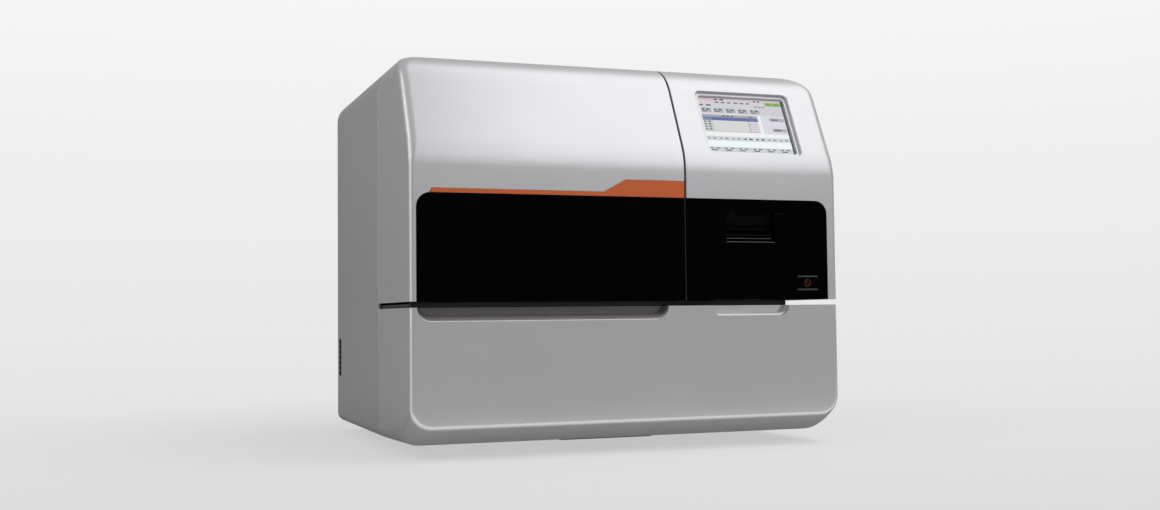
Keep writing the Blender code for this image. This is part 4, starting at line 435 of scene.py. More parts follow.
def block(bm, low, high, index=0):
    made = bmesh.ops.create_cube(bm, size=1.0)["verts"]
    bmesh.ops.scale(bm, vec=[b - a for a, b in zip(low, high)], verts=made)
    bmesh.ops.translate(bm, vec=[(a + b) / 2 for a, b in zip(low, high)], verts=made)
    for face in {f for v in made for f in v.link_faces}:
        face.material_index = index
    return made


def skin(bm, rings, index=0, closed=False):
    """Faces between rings of points, one of which may be a single point; closed joins last to first."""
    rows = [[bm.verts.new(p) for p in ring] for ring in rings]
    faces = []
    for low, high in zip(rows, rows[1:] + ([rows[0]] if closed else [])):
        count = max(len(low), len(high))
        for i in range(count):
            j = (i + 1) % count
            ring = (low[i % len(low)], low[j % len(low)], high[j % len(high)], high[i % len(high)])
            faces.append(bm.faces.new(list(dict.fromkeys(ring))))
    if not closed:
        faces += [bm.faces.new(row) for row in (rows[0], rows[-1]) if len(row) > 1]
    for face in faces:
        face.material_index = index
    bmesh.ops.recalc_face_normals(bm, faces=faces)


def around(sides):
    """Cosine and sine of evenly spaced angles of a full turn."""
    return [(cos(tau * i / sides), sin(tau * i / sides)) for i in range(sides)]


def on_axis(axis, w, u, v):
    return {"x": (w, u, v), "y": (u, w, v), "z": (u, v, w)}[axis]


def lathe(bm, foot, axis, profile, sides, index=0, closed=False):
    """A turned form from (height, radius) pairs; a radius of zero ends it in a point.

    The foot gives two places across the axis and then the one along it.
    """
    u, v, w = foot
    rings = []
    for height, radius in profile:
        turn = around(sides) if radius else [(0, 0)]
        rings.append([on_axis(axis, w + height, u + radius * c, v + radius * s) for c, s in turn])
    skin(bm, rings, index, closed)


def sweep(bm, points, radius, sides):
    """A round tube along points, closed at both ends."""
    spots = [Vector(p) for p in points]
    normal = Vector((0, 0, 1))
    rings = []
    for i, spot in enumerate(spots):
        ahead = (spots[min(i + 1, len(spots) - 1)] - spots[max(i - 1, 0)]).normalized()
        if abs(ahead.dot(normal)) > 0.98:
            normal = Vector((1, 0, 0))
        side = ahead.cross(normal).normalized()
        normal = side.cross(ahead).normalized()
        rings.append([spot + radius * (side * c + normal * s) for c, s in around(sides)])
    skin(bm, rings)


def rounded(u0, u1, v0, v1, radius, steps=5):
    """A rectangle's outline with rounded corners."""
    points = []
    turns = ((u0, v0, 1, 1, 180), (u1, v0, -1, 1, 270), (u1, v1, -1, -1, 0), (u0, v1, 1, -1, 90))
    for u, v, du, dv, start in turns:
        for i in range(steps + 1):
            a = radians(start + 90 * i / steps)
            points.append((u + radius * (du + cos(a)), v + radius * (dv + sin(a))))
    return points


def inset_ring(low, high, y, inset, radius):
    outline = rounded(low.x + inset, high.x - inset, low.z + inset, high.z - inset, radius)
    return [(x, y, z) for x, z in outline]


# Finer edges and smooth shading on the nodes of the frame
def smoothing_group():
    """Nodes that merge doubled corners and shade smooth up to an angle."""
    group = bpy.data.node_groups.new("smooth_by_angle", "GeometryNodeTree")
    for way in ("INPUT", "OUTPUT"):
        group.interface.new_socket("Geometry", in_out=way, socket_type="NodeSocketGeometry")

    def node(kind, **values):
        made = group.nodes.new(kind)
        for key, value in values.items():
            made.inputs[key.replace("_", " ")].default_value = value
        return made

    start, end = node("NodeGroupInput"), node("NodeGroupOutput")
    merge = node("GeometryNodeMergeByDistance", Distance=0.002 * MM)
    drop = node("GeometryNodeRemoveAttribute", Name="custom_normal")
    faces = node("GeometryNodeSetShadeSmooth", Shade_Smooth=True)
    edges = node("GeometryNodeSetShadeSmooth", Shade_Smooth=False)
    edges.domain = "EDGE"
    angle = node("GeometryNodeInputMeshEdgeAngle")
    sharp = node("FunctionNodeCompare")
    sharp.operation = "GREATER_THAN"
    sharp.inputs[1].default_value = radians(35)
    link = group.links.new
    chain = (start, merge, drop, faces, edges, end)
    for before, after in zip(chain, chain[1:]):
        link(before.outputs[0], after.inputs[0])
    link(angle.outputs["Unsigned Angle"], sharp.inputs[0])
    link(sharp.outputs[0], edges.inputs["Selection"])
    return group


def dress(group, name, mat, bevel):
    """Gives a node its material, and smooth shading with fine bevels as modifiers."""
    obj = nodes[name]
    obj.data.materials.clear()
    obj.data.materials.append(mat)
    modifier = obj.modifiers.new("smooth", "NODES")
    modifier.node_group = group
    if bevel:
        add_bevel(obj, bevel, 40)


# Nodes by their material and the width of their bevels
DRESS = (
    ("silver_cover", 0.5, "light_shield_cover display_cover"),
    ("silver_lower", 0.5, "lower_front_cover"),
    ("silver_main", 0.4, "main_cover"),
    ("silver_main", 0.25, "rear_panel"),
    ("gloss", 0.6, "cover_window printer_cover"),
    ("gloss", 0.4, "printer_window_panel"),
    ("orange", 0, "cover_stripe"),
    ("black", 0.2, "side_vent_grille base_filter_tray fan_rotor"),
    ("black", 0.3, "stop_button_housing power_inlet"),
    ("black", 0.4, "fan_housing"),
    ("black", 0.6, "x_drive_motor"),
    ("rocker", 0.3, "power_rocker"),
    ("deck", 0.5, "deck_plate"),
    ("throat", 0.3, "paper_outlet_guide"),
    ("rubber", 1.2, "foot_front_left foot_front_right foot_rear_left foot_rear_right"),
    ("rubber", 0.2, "platen_roller"),
    ("steel", 0.2, "cover_hinge_bracket cover_hinge_leaf"),
    ("steel", 0.3, "base_plate left_side_plate right_side_plate divider_wall"),
    ("steel", 0.3, "chamber_rear_wall interface_ports"),
    ("steel", 0.5, "power_supply"),
    ("bright", 0, "sample_probe"),
    ("bright", 0.1, "cover_hinge_pin"),
    ("bright", 0.2, "diluter_plunger"),
    ("aluminium", 0.4, "print_head x_rail x_carriage probe_carriage"),
    ("aluminium", 0.5, "reagent_rack detector_block y_arm"),
    ("grey", 0.4, "printer_frame"),
    ("grey", 0.5, "probe_holder"),
    ("grey", 0.6, "diluter_body"),
    ("grey_dark", 0.5, "sample_rack"),
    ("grey_dark", 0.8, "vacuum_pump"),
    ("white", 0.4, "rinse_cup tube_waste_box"),
    ("paper", 0.2, "paper_roll"),
    ("board", 0, "main_board"),
    ("bezel", 0, "lcd_touch_screen"),
)


def dress_nodes(m):
    group = smoothing_group()
    for key, bevel, names in DRESS:
        for name in names.split():
            dress(group, name, m[key], bevel)


# The screen's picture, in shares of its width and height from the top left
PICTURE_MARGIN = 4.4
LAYER = 0.05
PALE, MID, DARK = "8a8c94", "5c5e66", "3a3b42"
# Rows of alike fields as (first left edge, pitch, width, count)
TABS = (0.025, 0.142, 0.112, 5)
CELLS = (0.012, 0.14, 0.128, 7)
KEYS = (0.014, 0.163, 0.15, 6)
LINE_TOP, LINE_PITCH, LINES = 0.418, 0.046, 4


def along(row):
    """Left and right edges of a row's fields."""
    first, pitch, width, count = row
    return [(first + pitch * i, first + pitch * i + width) for i in range(count)]


def marks(left, right, top, height, code, count, gap=0.3):
    """A line of plain dashes of uneven length, standing for a line of words."""
    step = (right - left) / count
    rows = []
    for i in range(count):
        width = step * (1 - gap - 0.25 * ((i * 7 + count) % 3) / 3)
        rows.append((left + step * i, top, left + step * i + width, top + height, 3, code))
    return rows


def screen_fields():
    """Coloured fields as (left, top, right, bottom, layer, colour)."""
    rows = [
        (0, 0, 1, 1, 0, "f0f2f4"),
        (0, 0, 1, 0.1, 1, "d4ccd2"),
        (0, 0, 0.19, 0.055, 2, "d6c0c6"),
        (0, 0.1, 1, 0.29, 1, "cfd0d6"),
        (0.7, 0.1, 1, 0.62, 1, "dad9e2"),
        (0.79, 0.04, 1, 0.105, 2, "83b048"),
        (0.985, 0, 1, 1, 3, "4a4b52"),
        (0, 0, 0.006, 0.3, 3, "606168"),
        (0, 0.285, 0.68, 0.3, 2, "e6e6e9"),
        (0.015, 0.3, 0.66, 0.345, 2, "9c9da9"),
        (0.015, 0.345, 0.66, 0.405, 2, "44569a"),
        (0.015, 0.345, 0.125, 0.405, 3, "5f75a2"),
        (0.545, 0.345, 0.66, 0.405, 3, "5a5aa5"),
        (0.015, 0.405, 0.125, 0.6, 2, "c3cbc8"),
        (0.125, 0.405, 0.545, 0.6, 2, "d5d8d5"),
        (0.545, 0.405, 0.66, 0.6, 2, "dcd3dd"),
        (0.541, 0.345, 0.547, 0.6, 3, "686a72"),
        (0.015, 0.6, 0.66, 0.606, 3, "8d8f95"),
        (0, 0.62, 1, 0.69, 1, "f4f4f6"),
        (0, 0.69, 1, 0.765, 1, "bfcbd0"),
        (0, 0.765, 1, 0.88, 1, "f6fafa"),
        (0, 0.88, 1, 0.965, 1, "b9c3c4"),
        (0, 0.965, 1, 1, 1, "eceef0"),
        (0.8, 0.325, 0.975, 0.385, 2, "a5a9b2"),
        (0.81, 0.515, 0.975, 0.575, 2, "a5a9b2"),
    ]
    rows += [(left, 0.185, right, 0.262, 2, "a9adb6") for left, right in along(TABS)]
    rows += [(left, 0.7, right, 0.755, 2, "d5dfe2") for left, right in along(CELLS)]
    rows += [(left, 0.888, right, 0.958, 2, "d0d8d8") for left, right in along(KEYS)]
    return rows


# Words as (left, right, top, height, colour, count)
WORDS = (
    (0.2, 0.33, 0.012, 0.024, DARK, 2), (0.66, 0.75, 0.02, 0.022, DARK, 2),
    (0.2, 0.64, 0.062, 0.024, MID, 6), (0.81, 0.98, 0.062, 0.018, "4f7a2c", 2),
    (0.015, 0.17, 0.118, 0.026, DARK, 2), (0.66, 0.8, 0.12, 0.016, MID, 3),
    (0.25, 0.4, 0.312, 0.022, DARK, 3), (0.56, 0.64, 0.312, 0.02, MID, 1),
    (0.82, 0.955, 0.345, 0.02, DARK, 1), (0.83, 0.96, 0.535, 0.02, DARK, 1),
)


def screen_words():
    rows = [row for word in WORDS for row in marks(*word)]
    for left, right in along(TABS):
        rows += marks(left + 0.008, right - 0.004, 0.195, 0.024, DARK, 2)
        rows += marks(left + 0.008, right - 0.012, 0.232, 0.02, MID, 1)
    for i in range(LINES):
        top = LINE_TOP + LINE_PITCH * i
        rows += marks(0.025, 0.115, top, 0.022, MID, 2)
        rows += marks(0.555, 0.65, top + 0.03, 0.006, "b98fa2" if i else PALE, 1, 0)
    for i, (left, right) in enumerate(along(CELLS)):
        rows += marks(left + 0.01, right - 0.003, 0.715, 0.026, DARK if i in (3, 4) else PALE, 2)
    for i, (left, right) in enumerate(along(KEYS)):
        rows += marks(left + 0.012, right - 0.01, 0.895, 0.02, MID, 2)
        rows += marks(left + 0.02, right - 0.02, 0.927, 0.02, DARK if i % 2 else MID, 1)
    return rows


def screen_face():
    """Lower left corner, width and height of the screen module's leaning front face."""
    low, high = corners("lcd_touch_screen")
    deep, tall = high.y - low.y, high.z - low.z
    height = (tall * cos(LEAN) - deep * sin(LEAN)) / cos(2 * LEAN)
    thick = (deep * cos(LEAN) - tall * sin(LEAN)) / cos(2 * LEAN)
    return Vector((low.x, low.y, low.z + thick * sin(LEAN))), high.x - low.x, height


def slant(bm, verts, origin):
    """Carries points from the screen's frame, x right, y up the slope, z out of it."""
    turn = Matrix((
        (1, 0, 0, origin.x),
        (0, sin(LEAN), -cos(LEAN), origin.y),
        (0, cos(LEAN), sin(LEAN), origin.z),
        (0, 0, 0, 1),
    ))
    bmesh.ops.transform(bm, matrix=turn, verts=verts)


def make_screen():
    origin, width, height = screen_face()
    wide, tall = width - 2 * PICTURE_MARGIN, height - 2 * PICTURE_MARGIN
    rows = screen_fields() + screen_words()
    codes = sorted({row[5] for row in rows})
    bm = bmesh.new()
    for left, top, right, bottom, layer, code in rows:
        front = LAYER * (layer + 1)
        low = (PICTURE_MARGIN + wide * left, PICTURE_MARGIN + tall * (1 - bottom), front - LAYER)
        high = (PICTURE_MARGIN + wide * right, PICTURE_MARGIN + tall * (1 - top), front)
        slant(bm, block(bm, low, high, codes.index(code)), origin)
    to_object("screen_picture", bm, [lit("screen_" + code, code) for code in codes], "casing")


# Stop button, with a flange that keeps it in and a sign in its dish
BUTTON_FLANGE, FLANGE_DEPTH, FLANGE_RADIUS = 2, 2, 4
# The key's outlines from its foot to its dish, as (depth behind the front, inset, corner radius)
KEY_STEPS = ((10, 0, 2), (0.4, 0, 2), (0, 0.5, 1.7), (0, 1.1, 1.4), (0.7, 1.9, 1.0), (0.8, 3, 0.6))
# Faces this near the front that lean up or down by more than the tilt belong to the rim, painted lighter
# than the key's face as highlight lines, lightest where they lean down
RIM_DEPTH, RIM_TILT = 1, 0.4
ICON_RADIUS, ICON_LINE, ICON_DEPTH = 4.2, 0.4, 0.75
ICON_STEPS, LINE_SIDES = 40, 8


def make_stop_button(m):
    """A key with a rounded rim and a dished face, over the flange that keeps it in."""
    flange_low, flange_high = corners("stop_button")
    edge = Vector((BUTTON_FLANGE, 0, BUTTON_FLANGE))
    low, high = flange_low + edge, flange_high - edge
    front, back = low.y, flange_high.y
    bm = bmesh.new()
    skin(bm, [inset_ring(low, high, front + depth, inset, radius) for depth, inset, radius in KEY_STEPS])
    for face in bm.faces:
        if face.calc_center_median().y < front + RIM_DEPTH:
            # Painted highlight on the rim, by which way each face leans
            face.material_index = 2 if face.normal.z > RIM_TILT else int(face.normal.z < -RIM_TILT)
    skin(bm, [inset_ring(flange_low, flange_high, y, 0, FLANGE_RADIUS) for y in (back - FLANGE_DEPTH, back)])
    looks = [m["button"], m["rim"], m["rim_top"]]
    key = to_object("stop_button_key", bm, looks, "stop_key", 30)
    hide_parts("stop_button")
    make_stop_icon(m, (low + high) / 2, front + ICON_DEPTH)


def make_stop_icon(m, centre, y):
    """A ring with a bar across it, a plain sign for stop."""
    bm = bmesh.new()
    turn = around(ICON_STEPS)
    ring = [(centre.x + ICON_RADIUS * c, y, centre.z + ICON_RADIUS * s) for c, s in turn + turn[:1]]
    sweep(bm, ring, ICON_LINE, LINE_SIDES)
    reach = ICON_RADIUS * sqrt(0.5)
    ends = [(centre.x - side * reach, y, centre.z + side * reach) for side in (1, -1)]
    sweep(bm, ends, ICON_LINE, LINE_SIDES)
    to_object("stop_button_icon", bm, m["icon"], "stop_key")


# Sample tubes, whose profiles are (height above the tube's foot, radius)
TUBE_PITCH, FIRST_TUBE, HOLE_FLOOR, SEAT_GAP = 20, 12, 5, 0.3
FILLED_PLACES = (0, 1, 2, 3, 5, 6, 8)
TUBE_OUTSIDE = ((0, 2.0), (1.5, 4.3), (4.5, 5.9), (69, 5.9))
TUBE_INSIDE = ((69, 5.0), (5, 5.0), (2.3, 3.4), (1.2, 1.4))
TUBE_LABEL = ((33, 5.95), (33, 6.06), (59, 6.06), (59, 5.95))
TUBE_CAP = ((64, 6.1), (64.6, 6.9), (76.5, 6.9), (77.3, 6.3), (77.3, 3.4), (76.2, 2.9), (76.2, 0))
CELLS_HEIGHT, PLASMA_HEIGHT, FILL_RADIUS = 25, 55, 4.9


def make_sample_tubes(m):
    """Primary tubes with a curved foot, settled plasma over red cells, a cap and a blank label."""
    low, high = corners("sample_rack")
    foot = low.z + HOLE_FLOOR + SEAT_GAP
    glass, fill, caps, labels = (bmesh.new() for _ in range(4))
    for i in FILLED_PLACES:
        spot = (low.x + FIRST_TUBE + TUBE_PITCH * i, (low.y + high.y) / 2, foot)
        # Fill heights vary from tube to tube
        line = CELLS_HEIGHT + (i * 5) % 9
        top = PLASMA_HEIGHT + (i * 7) % 8
        cells = ((2.5, 3.2), (5.2, FILL_RADIUS), (line, FILL_RADIUS))
        plasma = ((line + 0.05, FILL_RADIUS), (top, FILL_RADIUS), (top - 0.5, 4.2))
        lathe(glass, spot, "z", TUBE_OUTSIDE + TUBE_INSIDE, 28, closed=True)
        lathe(fill, spot, "z", cells, 24, 0)
        lathe(fill, spot, "z", plasma, 24, 1)
        lathe(caps, spot, "z", TUBE_CAP, 28)
        lathe(labels, spot, "z", TUBE_LABEL, 28, closed=True)
    fills = [m["blood"], m["plasma"]]
    rows = (("glass", glass, m["glass"]), ("contents", fill, fills), ("caps", caps, m["cap"]))
    for name, bm, look in (*rows, ("labels", labels, m["label"])):
        to_object("sample_tube_" + name, bm, look, "sample_rack_body")


# Reagent vials, in two rows of three
VIAL_PITCH, VIAL_FLOOR = 26, 2.3
VIAL_TALL, VIAL_SHORT = 34, 28
VIAL_FILL, FILL_SHARE = 9.3, 0.5
CLOSED_VIALS = (1, 4)
STOPPER = ((-2.5, 7.6), (2.5, 7.6), (3, 7.0), (3, 3), (2.4, 2.4), (2.4, 0))


def make_vials(m):
    """Reagent vials of two heights, two of them still closed."""
    centre = middle("reagent_rack")
    floor = corners("reagent_rack")[0].z + VIAL_FLOOR
    glass, fill, caps, labels = (bmesh.new() for _ in range(4))
    places = [(x, y) for x in (-1, 0, 1) for y in (-0.5, 0.5)]
    for i, (x, y) in enumerate(places):
        x, y = centre.x + VIAL_PITCH * x, centre.y + VIAL_PITCH * y
        tall = VIAL_SHORT if i % 2 else VIAL_TALL
        outer = [(0, 9.2), (1, 10.5), (tall - 7, 10.5), (tall - 3, 7.2), (tall, 7.2)]
        inner = [(tall, 6.2), (tall - 3.5, 6.2), (tall - 8, 9.5), (1.7, 9.5), (1.7, 2)]
        label = [(19.5, 10.5), (19.5, 10.62), (tall - 7.5, 10.62), (tall - 7.5, 10.5)]
        lathe(glass, (x, y, floor), "z", outer + inner, 32, closed=True)
        lathe(fill, (x, y, floor), "z", [(1.8, VIAL_FILL), (tall * FILL_SHARE, VIAL_FILL)], 28)
        lathe(labels, (x, y, floor), "z", label, 32, closed=True)
        if i in CLOSED_VIALS:
            lathe(caps, (x, y, floor + tall), "z", STOPPER, 28)
    rows = (("glass", glass, "amber"), ("contents", fill, "plasma"), ("stoppers", caps, "stopper"))
    for name, bm, key in (*rows, ("labels", labels, "label")):
        to_object("reagent_vial_" + name, bm, m[key], "reagent_rack_body")


# Reaction tubes and the ribs between them
CUP_PITCH, CUP_ROWS = 14, 6
CUP_OUTSIDE = ((0.1, 1.6), (0.9, 2.6), (6, 3.0), (20, 3.7), (22.7, 3.8), (24, 4.0))
CUP_INSIDE = ((24, 3.4), (22, 3.1), (6.6, 2.4), (1.9, 1.8), (1.4, 0.8))
RIB_DROP, RIB_HALF = 3, 1.2


def make_cups(m):
    """Thin reaction tubes with flared mouths, moulded in one tray."""
    low, high = corners("reaction_tubes")
    centre = (low + high) / 2
    web = high.z - RIB_DROP
    bm = bmesh.new()
    for i in range(CUP_ROWS):
        for j in range(CUP_ROWS):
            spot = [centre[k] + CUP_PITCH * (n - (CUP_ROWS - 1) / 2) for k, n in ((0, i), (1, j))]
            lathe(bm, (*spot, low.z), "z", CUP_OUTSIDE + CUP_INSIDE, 20, closed=True)
    for i in range(CUP_ROWS + 1):
        x, y = (centre[k] + CUP_PITCH * (i - CUP_ROWS / 2) for k in (0, 1))
        block(bm, (x - RIB_HALF, low.y, web - 0.7), (x + RIB_HALF, high.y, web + 0.7))
        block(bm, (low.x, y - RIB_HALF, web - 0.6), (high.x, y + RIB_HALF, web + 0.6))
    cups = to_object("reaction_tube_tray", bm, m["clear"], "reaction_tubes_body")
    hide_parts("reaction_tubes")


# Lead screw
THREAD_STARTS, THREAD_LEAD, THREAD_DEPTH = 6, 20, 0.8
THREAD_STEP, THREAD_SIDES = 0.7, 24
PLAIN_END, PLAIN_DEPTH = 4, 0.6


def make_lead_screw(m):
    """A rod with a steep trapezoid thread of several starts and plain ends."""
    low, high = corners("x_lead_screw")
    centre = (low + high) / 2
    outer = (high.z - low.z) / 2
    length = high.x - low.x
    count = int(length / THREAD_STEP)
    rings = []
    for k in range(count + 1):
        x = low.x + length * k / count
        plain = x < low.x + PLAIN_END or x > high.x - PLAIN_END
        ring = []
        for i, (c, s) in enumerate(around(THREAD_SIDES)):
            phase = (THREAD_STARTS * (x / THREAD_LEAD - i / THREAD_SIDES)) % 1
            groove = min(max(abs(phase - 0.5) * 4 - 0.5, 0), 1)
            radius = outer - (PLAIN_DEPTH if plain else THREAD_DEPTH * groove)
            ring.append((x, centre.y + radius * c, centre.z + radius * s))
        rings.append(ring)
    bm = bmesh.new()
    skin(bm, rings)
    rod = to_object("x_lead_screw_thread", bm, m["bright"], "x_screw", 50)
    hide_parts("x_lead_screw")


# Screws, whose heads are given in shares of their height and radius
HEAD_SHARES = ((0, 1), (0.45, 1), (0.85, 0.8), (1, 0.45))
DECK_SCREW_INSET, DECK_SCREW_SEAT = 12, 1.8
DECK_SCREW_BACK = 20
WALL_SCREW_INSET, WALL_SCREW_SHARES = 12, (0.02, 0.26, 0.5, 0.74, 0.98)
RAIL_SCREW_RISE, RAIL_SCREW_SHARES = 10, (0.04, 0.2, 0.4, 0.6, 0.8, 0.96)


def make_heads(name, look, body, heads):
    """Domed heads in one piece, as (foot, axis, height along the axis, radius)."""
    bm = bmesh.new()
    for foot, axis, height, radius in heads:
        lathe(bm, foot, axis, [(height * rise, radius * width) for rise, width in HEAD_SHARES], 20)
    to_object(name, bm, look, body)


def make_screws(m):
    """Screws on the deck, the chamber's rear wall and the rail."""
    low, high = corners("deck_plate")
    left, back = low.x + DECK_SCREW_INSET, high.y - DECK_SCREW_BACK
    split = corners("light_shield_cover")[1].x - DECK_SCREW_INSET
    right = corners("display_cover")[1].x
    places = [(left, low.y + 15), (left, back), (split, back), (split, low.y + 120)]
    places += [(right - 85, low.y + 14), (right - 20, back)]
    heads = [((x, y, high.z - DECK_SCREW_SEAT), "z", 1.6, 3) for x, y in places]
    low, high = corners("chamber_rear_wall")
    for share in WALL_SCREW_SHARES:
        x = low.x + (high.x - low.x) * share
        for z in (low.z + WALL_SCREW_INSET, high.z - WALL_SCREW_INSET):
            heads.append(((x, z, low.y), "y", -1.4, 2.6))
    make_heads("casing_screws", m["bright"], "casing", heads)
    low, high = corners("x_rail")
    across = [low.x + (high.x - low.x) * share for share in RAIL_SCREW_SHARES]
    heads = [((x, low.z + RAIL_SCREW_RISE, low.y), "y", -0.2, 2.2) for x in across]
    make_heads("rail_screws", m["chip"], "casing", heads)


REAR_HEAD, RECESS_HALF, RECESS_SHARE = 0.9, 0.3, 0.5


def make_rear_screws(m):
    """Flanged heads with a cross recess in place of the plain ones."""
    for name in ("low_left", "low_right", "high_left", "high_right"):
        node = "rear_screw_" + name
        low, high = corners(node)
        x, z, face = (low.x + high.x) / 2, (low.z + high.z) / 2, high.y
        radius = (high.x - low.x) / 2
        shank = [(low.y - face, 1.4), (-REAR_HEAD, 1.5)]
        dome = [(-REAR_HEAD, radius), (-0.4, radius - 0.1), (-0.1, radius - 0.6), (0, radius * 0.55)]
        bm = bmesh.new()
        lathe(bm, (x, z, face), "y", shank + dome, 28)
        arm = radius * RECESS_SHARE
        for wide, tall in ((arm, RECESS_HALF), (RECESS_HALF, arm)):
            block(bm, (x - wide, face - RECESS_HALF, z - tall), (x + wide, face + 0.005, z + tall), 1)
        piece = to_object(node + "_head", bm, [m["bright"], m["chip"]], "casing")
        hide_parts(node)


# Chips on the main board as (across, up, width, height) from the board's lower left
CHIPS = (
    (30, 185, 34, 34), (100, 180, 28, 28), (170, 190, 20, 14), (210, 190, 20, 14), (250, 186, 24, 18),
    (30, 120, 26, 20), (80, 125, 18, 12), (120, 125, 18, 12), (180, 130, 40, 16), (250, 120, 22, 22),
    (50, 65, 22, 12), (90, 65, 22, 12), (140, 70, 30, 30), (200, 60, 16, 12), (230, 60, 16, 12),
)
CHIP_THICK, LEG_PITCH = 2.2, 2.4
CAPACITORS = ((275, 80), (275, 100), (275, 40), (260, 22), (240, 22), (15, 22))
CAN = ((0, 6), (1, 6.3), (16, 6.3), (16.6, 5.6), (16.6, 0))
# Sockets as (across, width), and their contacts
SOCKETS = ((30, 40), (85, 50), (150, 60), (205, 30))
SOCKET_LOW, SOCKET_HIGH, SOCKET_DEPTH = 12, 21, 8
CONTACT_PITCH, CONTACT_ROWS = 4, (14, 18)


def board_face():
    """The board's side that faces the rear: its widest flat face turned that way."""
    areas = {}
    for face in nodes["main_board"].data.polygons:
        if face.normal.y > 0.99:
            y = round(face.center.y / MM, 2)
            areas[y] = areas.get(y, 0) + face.area
    return max(areas, key=areas.get)


def make_board_parts(m):
    chips, metal, tall = bmesh.new(), bmesh.new(), bmesh.new()
    corner, y = corners("main_board")[0], board_face()
    for across, up, w, h in CHIPS:
        x, z = corner.x + across, corner.z + up
        block(chips, (x - w / 2, y, z - h / 2), (x + w / 2, y + CHIP_THICK, z + h / 2))
        for k in range(int(w / LEG_PITCH)):
            leg = x - w / 2 + LEG_PITCH * (k + 0.5)
            for side in (-1, 1):
                foot = z + side * (h / 2 + 0.7)
                block(metal, (leg - 0.5, y, foot - 0.9), (leg + 0.5, y + 0.9, foot + 0.9))
    for across, up in CAPACITORS:
        lathe(tall, (corner.x + across, corner.z + up, y), "y", CAN, 24)
    for across, w in SOCKETS:
        left, front = corner.x + across - w / 2, y + SOCKET_DEPTH
        block(tall, (left, y, corner.z + SOCKET_LOW), (left + w, front, corner.z + SOCKET_HIGH), 1)
        for k in range(int(w / CONTACT_PITCH)):
            x = left + CONTACT_PITCH * (k + 0.5)
            for up in CONTACT_ROWS:
                z = corner.z + up
                block(metal, (x - 0.4, front, z), (x + 0.4, front + 3, z + 1))
    to_object("board_chips", chips, m["chip"], "casing", bevel=0.25)
    to_object("board_contacts", metal, m["bright"], "casing")
    to_object("board_capacitors_and_sockets", tall, [m["bright"], m["connector"]], "casing")


# Ports: places are across from the middle of their plate, and pitches are those of the real plugs
PORT_FLOOR = 8.9
SERIAL_LEFT, SERIAL_RIGHT, SERIAL_HALF, SERIAL_RADIUS, SERIAL_DEPTH = -34.5, -9.5, 4, 2.5, 5.5
# Rows of serial pins as (first place, height over the middle, count)
SERIAL_PITCH, SERIAL_ROWS = 2.76, ((-27.5, 1.4, 5), (-26.1, -1.4, 4))
SERIAL_PIN = ((5, 0.5), (7.4, 0.5), (7.8, 0.2))
NETWORK_FIRST, NETWORK_PITCH, NETWORK_COUNT = 6.4, 1.02, 8
USB_FIRST, USB_PITCH, USB_COUNT = 24.8, 2.15, 4
USB_LEFT, USB_RIGHT = 23.5, 32.5


def make_port_details(m):
    """Pins and contacts inside the rear ports."""
    low, high = corners("interface_ports")
    x0, z0 = (low.x + high.x) / 2, (low.z + high.z) / 2
    back = high.y - PORT_FLOOR
    metal, dark = bmesh.new(), bmesh.new()
    outline = rounded(x0 + SERIAL_LEFT, x0 + SERIAL_RIGHT, z0 - SERIAL_HALF, z0 + SERIAL_HALF, SERIAL_RADIUS)
    skin(dark, [[(x, y, z) for x, z in outline] for y in (back, back + SERIAL_DEPTH)])
    for first, up, count in SERIAL_ROWS:
        for k in range(count):
            lathe(metal, (x0 + first + SERIAL_PITCH * k, z0 + up, back), "y", SERIAL_PIN, 10)
    for k in range(NETWORK_COUNT):
        x = x0 + NETWORK_FIRST + NETWORK_PITCH * k
        block(metal, (x - 0.25, back, z0 + 2.5), (x + 0.25, back + 6.5, z0 + 3.1))
    block(dark, (x0 + USB_LEFT, back, z0 - 0.6), (x0 + USB_RIGHT, back + 7.6, z0 + 1.4))
    for k in range(USB_COUNT):
        x = x0 + USB_FIRST + USB_PITCH * k
        block(metal, (x - 0.5, back + 1, z0 - 0.9), (x + 0.5, back + 7.2, z0 - 0.62))
    to_object("port_insulators", dark, m["chip"], "casing")
    to_object("port_contacts", metal, m["gold"], "casing")


# Printer's paper: its way past the platen as (behind the nip, above the platen's axis)
WEB_PATH = ((4.8, -26), (1.9, -16), (0.4, -8), (0, 0), (-0.3, 6), (-3.1, 10.5), (-7.2, 15))
# Its end as (behind the outlet guide, below the guide's top), and its way round the roll in degrees
WEB_END = ((1.6, 6), (0.6, 3))
ROLL_LEAVES = range(200, 150, -8)
WEB_GAP, NIP_GAP, WEB_INSET, WEB_THICK = 0.2, 0.15, 6, 0.08


def make_printer_web(m):
    """The paper from the roll up between the print head and the platen."""
    roll, platen, guide = middle("paper_roll"), corners("platen_roller"), corners("paper_outlet_guide")[1]
    radius = (corners("paper_roll")[1].z - roll.z) + WEB_GAP
    nip, axis = platen[1].y + NIP_GAP, middle("platen_roller").z
    path = []
    for a in map(radians, ROLL_LEAVES):
        path.append((roll.y + radius * cos(a), roll.z + radius * sin(a)))
    path += [(nip + back, axis + up) for back, up in WEB_PATH]
    path += [(guide.y + back, guide.z - down) for back, down in WEB_END]
    low, high = corners("print_head")
    bm = bmesh.new()
    edges = (low.x + WEB_INSET, (low.x + high.x) / 2, high.x - WEB_INSET)
    rows = [[bm.verts.new((x, y, z)) for x in edges] for y, z in path]
    for near, far in zip(rows, rows[1:]):
        for i in range(len(edges) - 1):
            bm.faces.new((near[i], near[i + 1], far[i + 1], far[i]))
    web = to_object("paper_web", bm, m["paper"], "casing", 80)
    thick = web.modifiers.new("thickness", "SOLIDIFY")
    thick.thickness = WEB_THICK * MM


# Tear bars, set in from the door's sides and down from its top
TEAR_LEFT, TEAR_RIGHT, TEAR_DROP = 17.2, 14.2, 38.9
TEAR_DEPTH, TEAR_HEIGHT = 1, 0.8


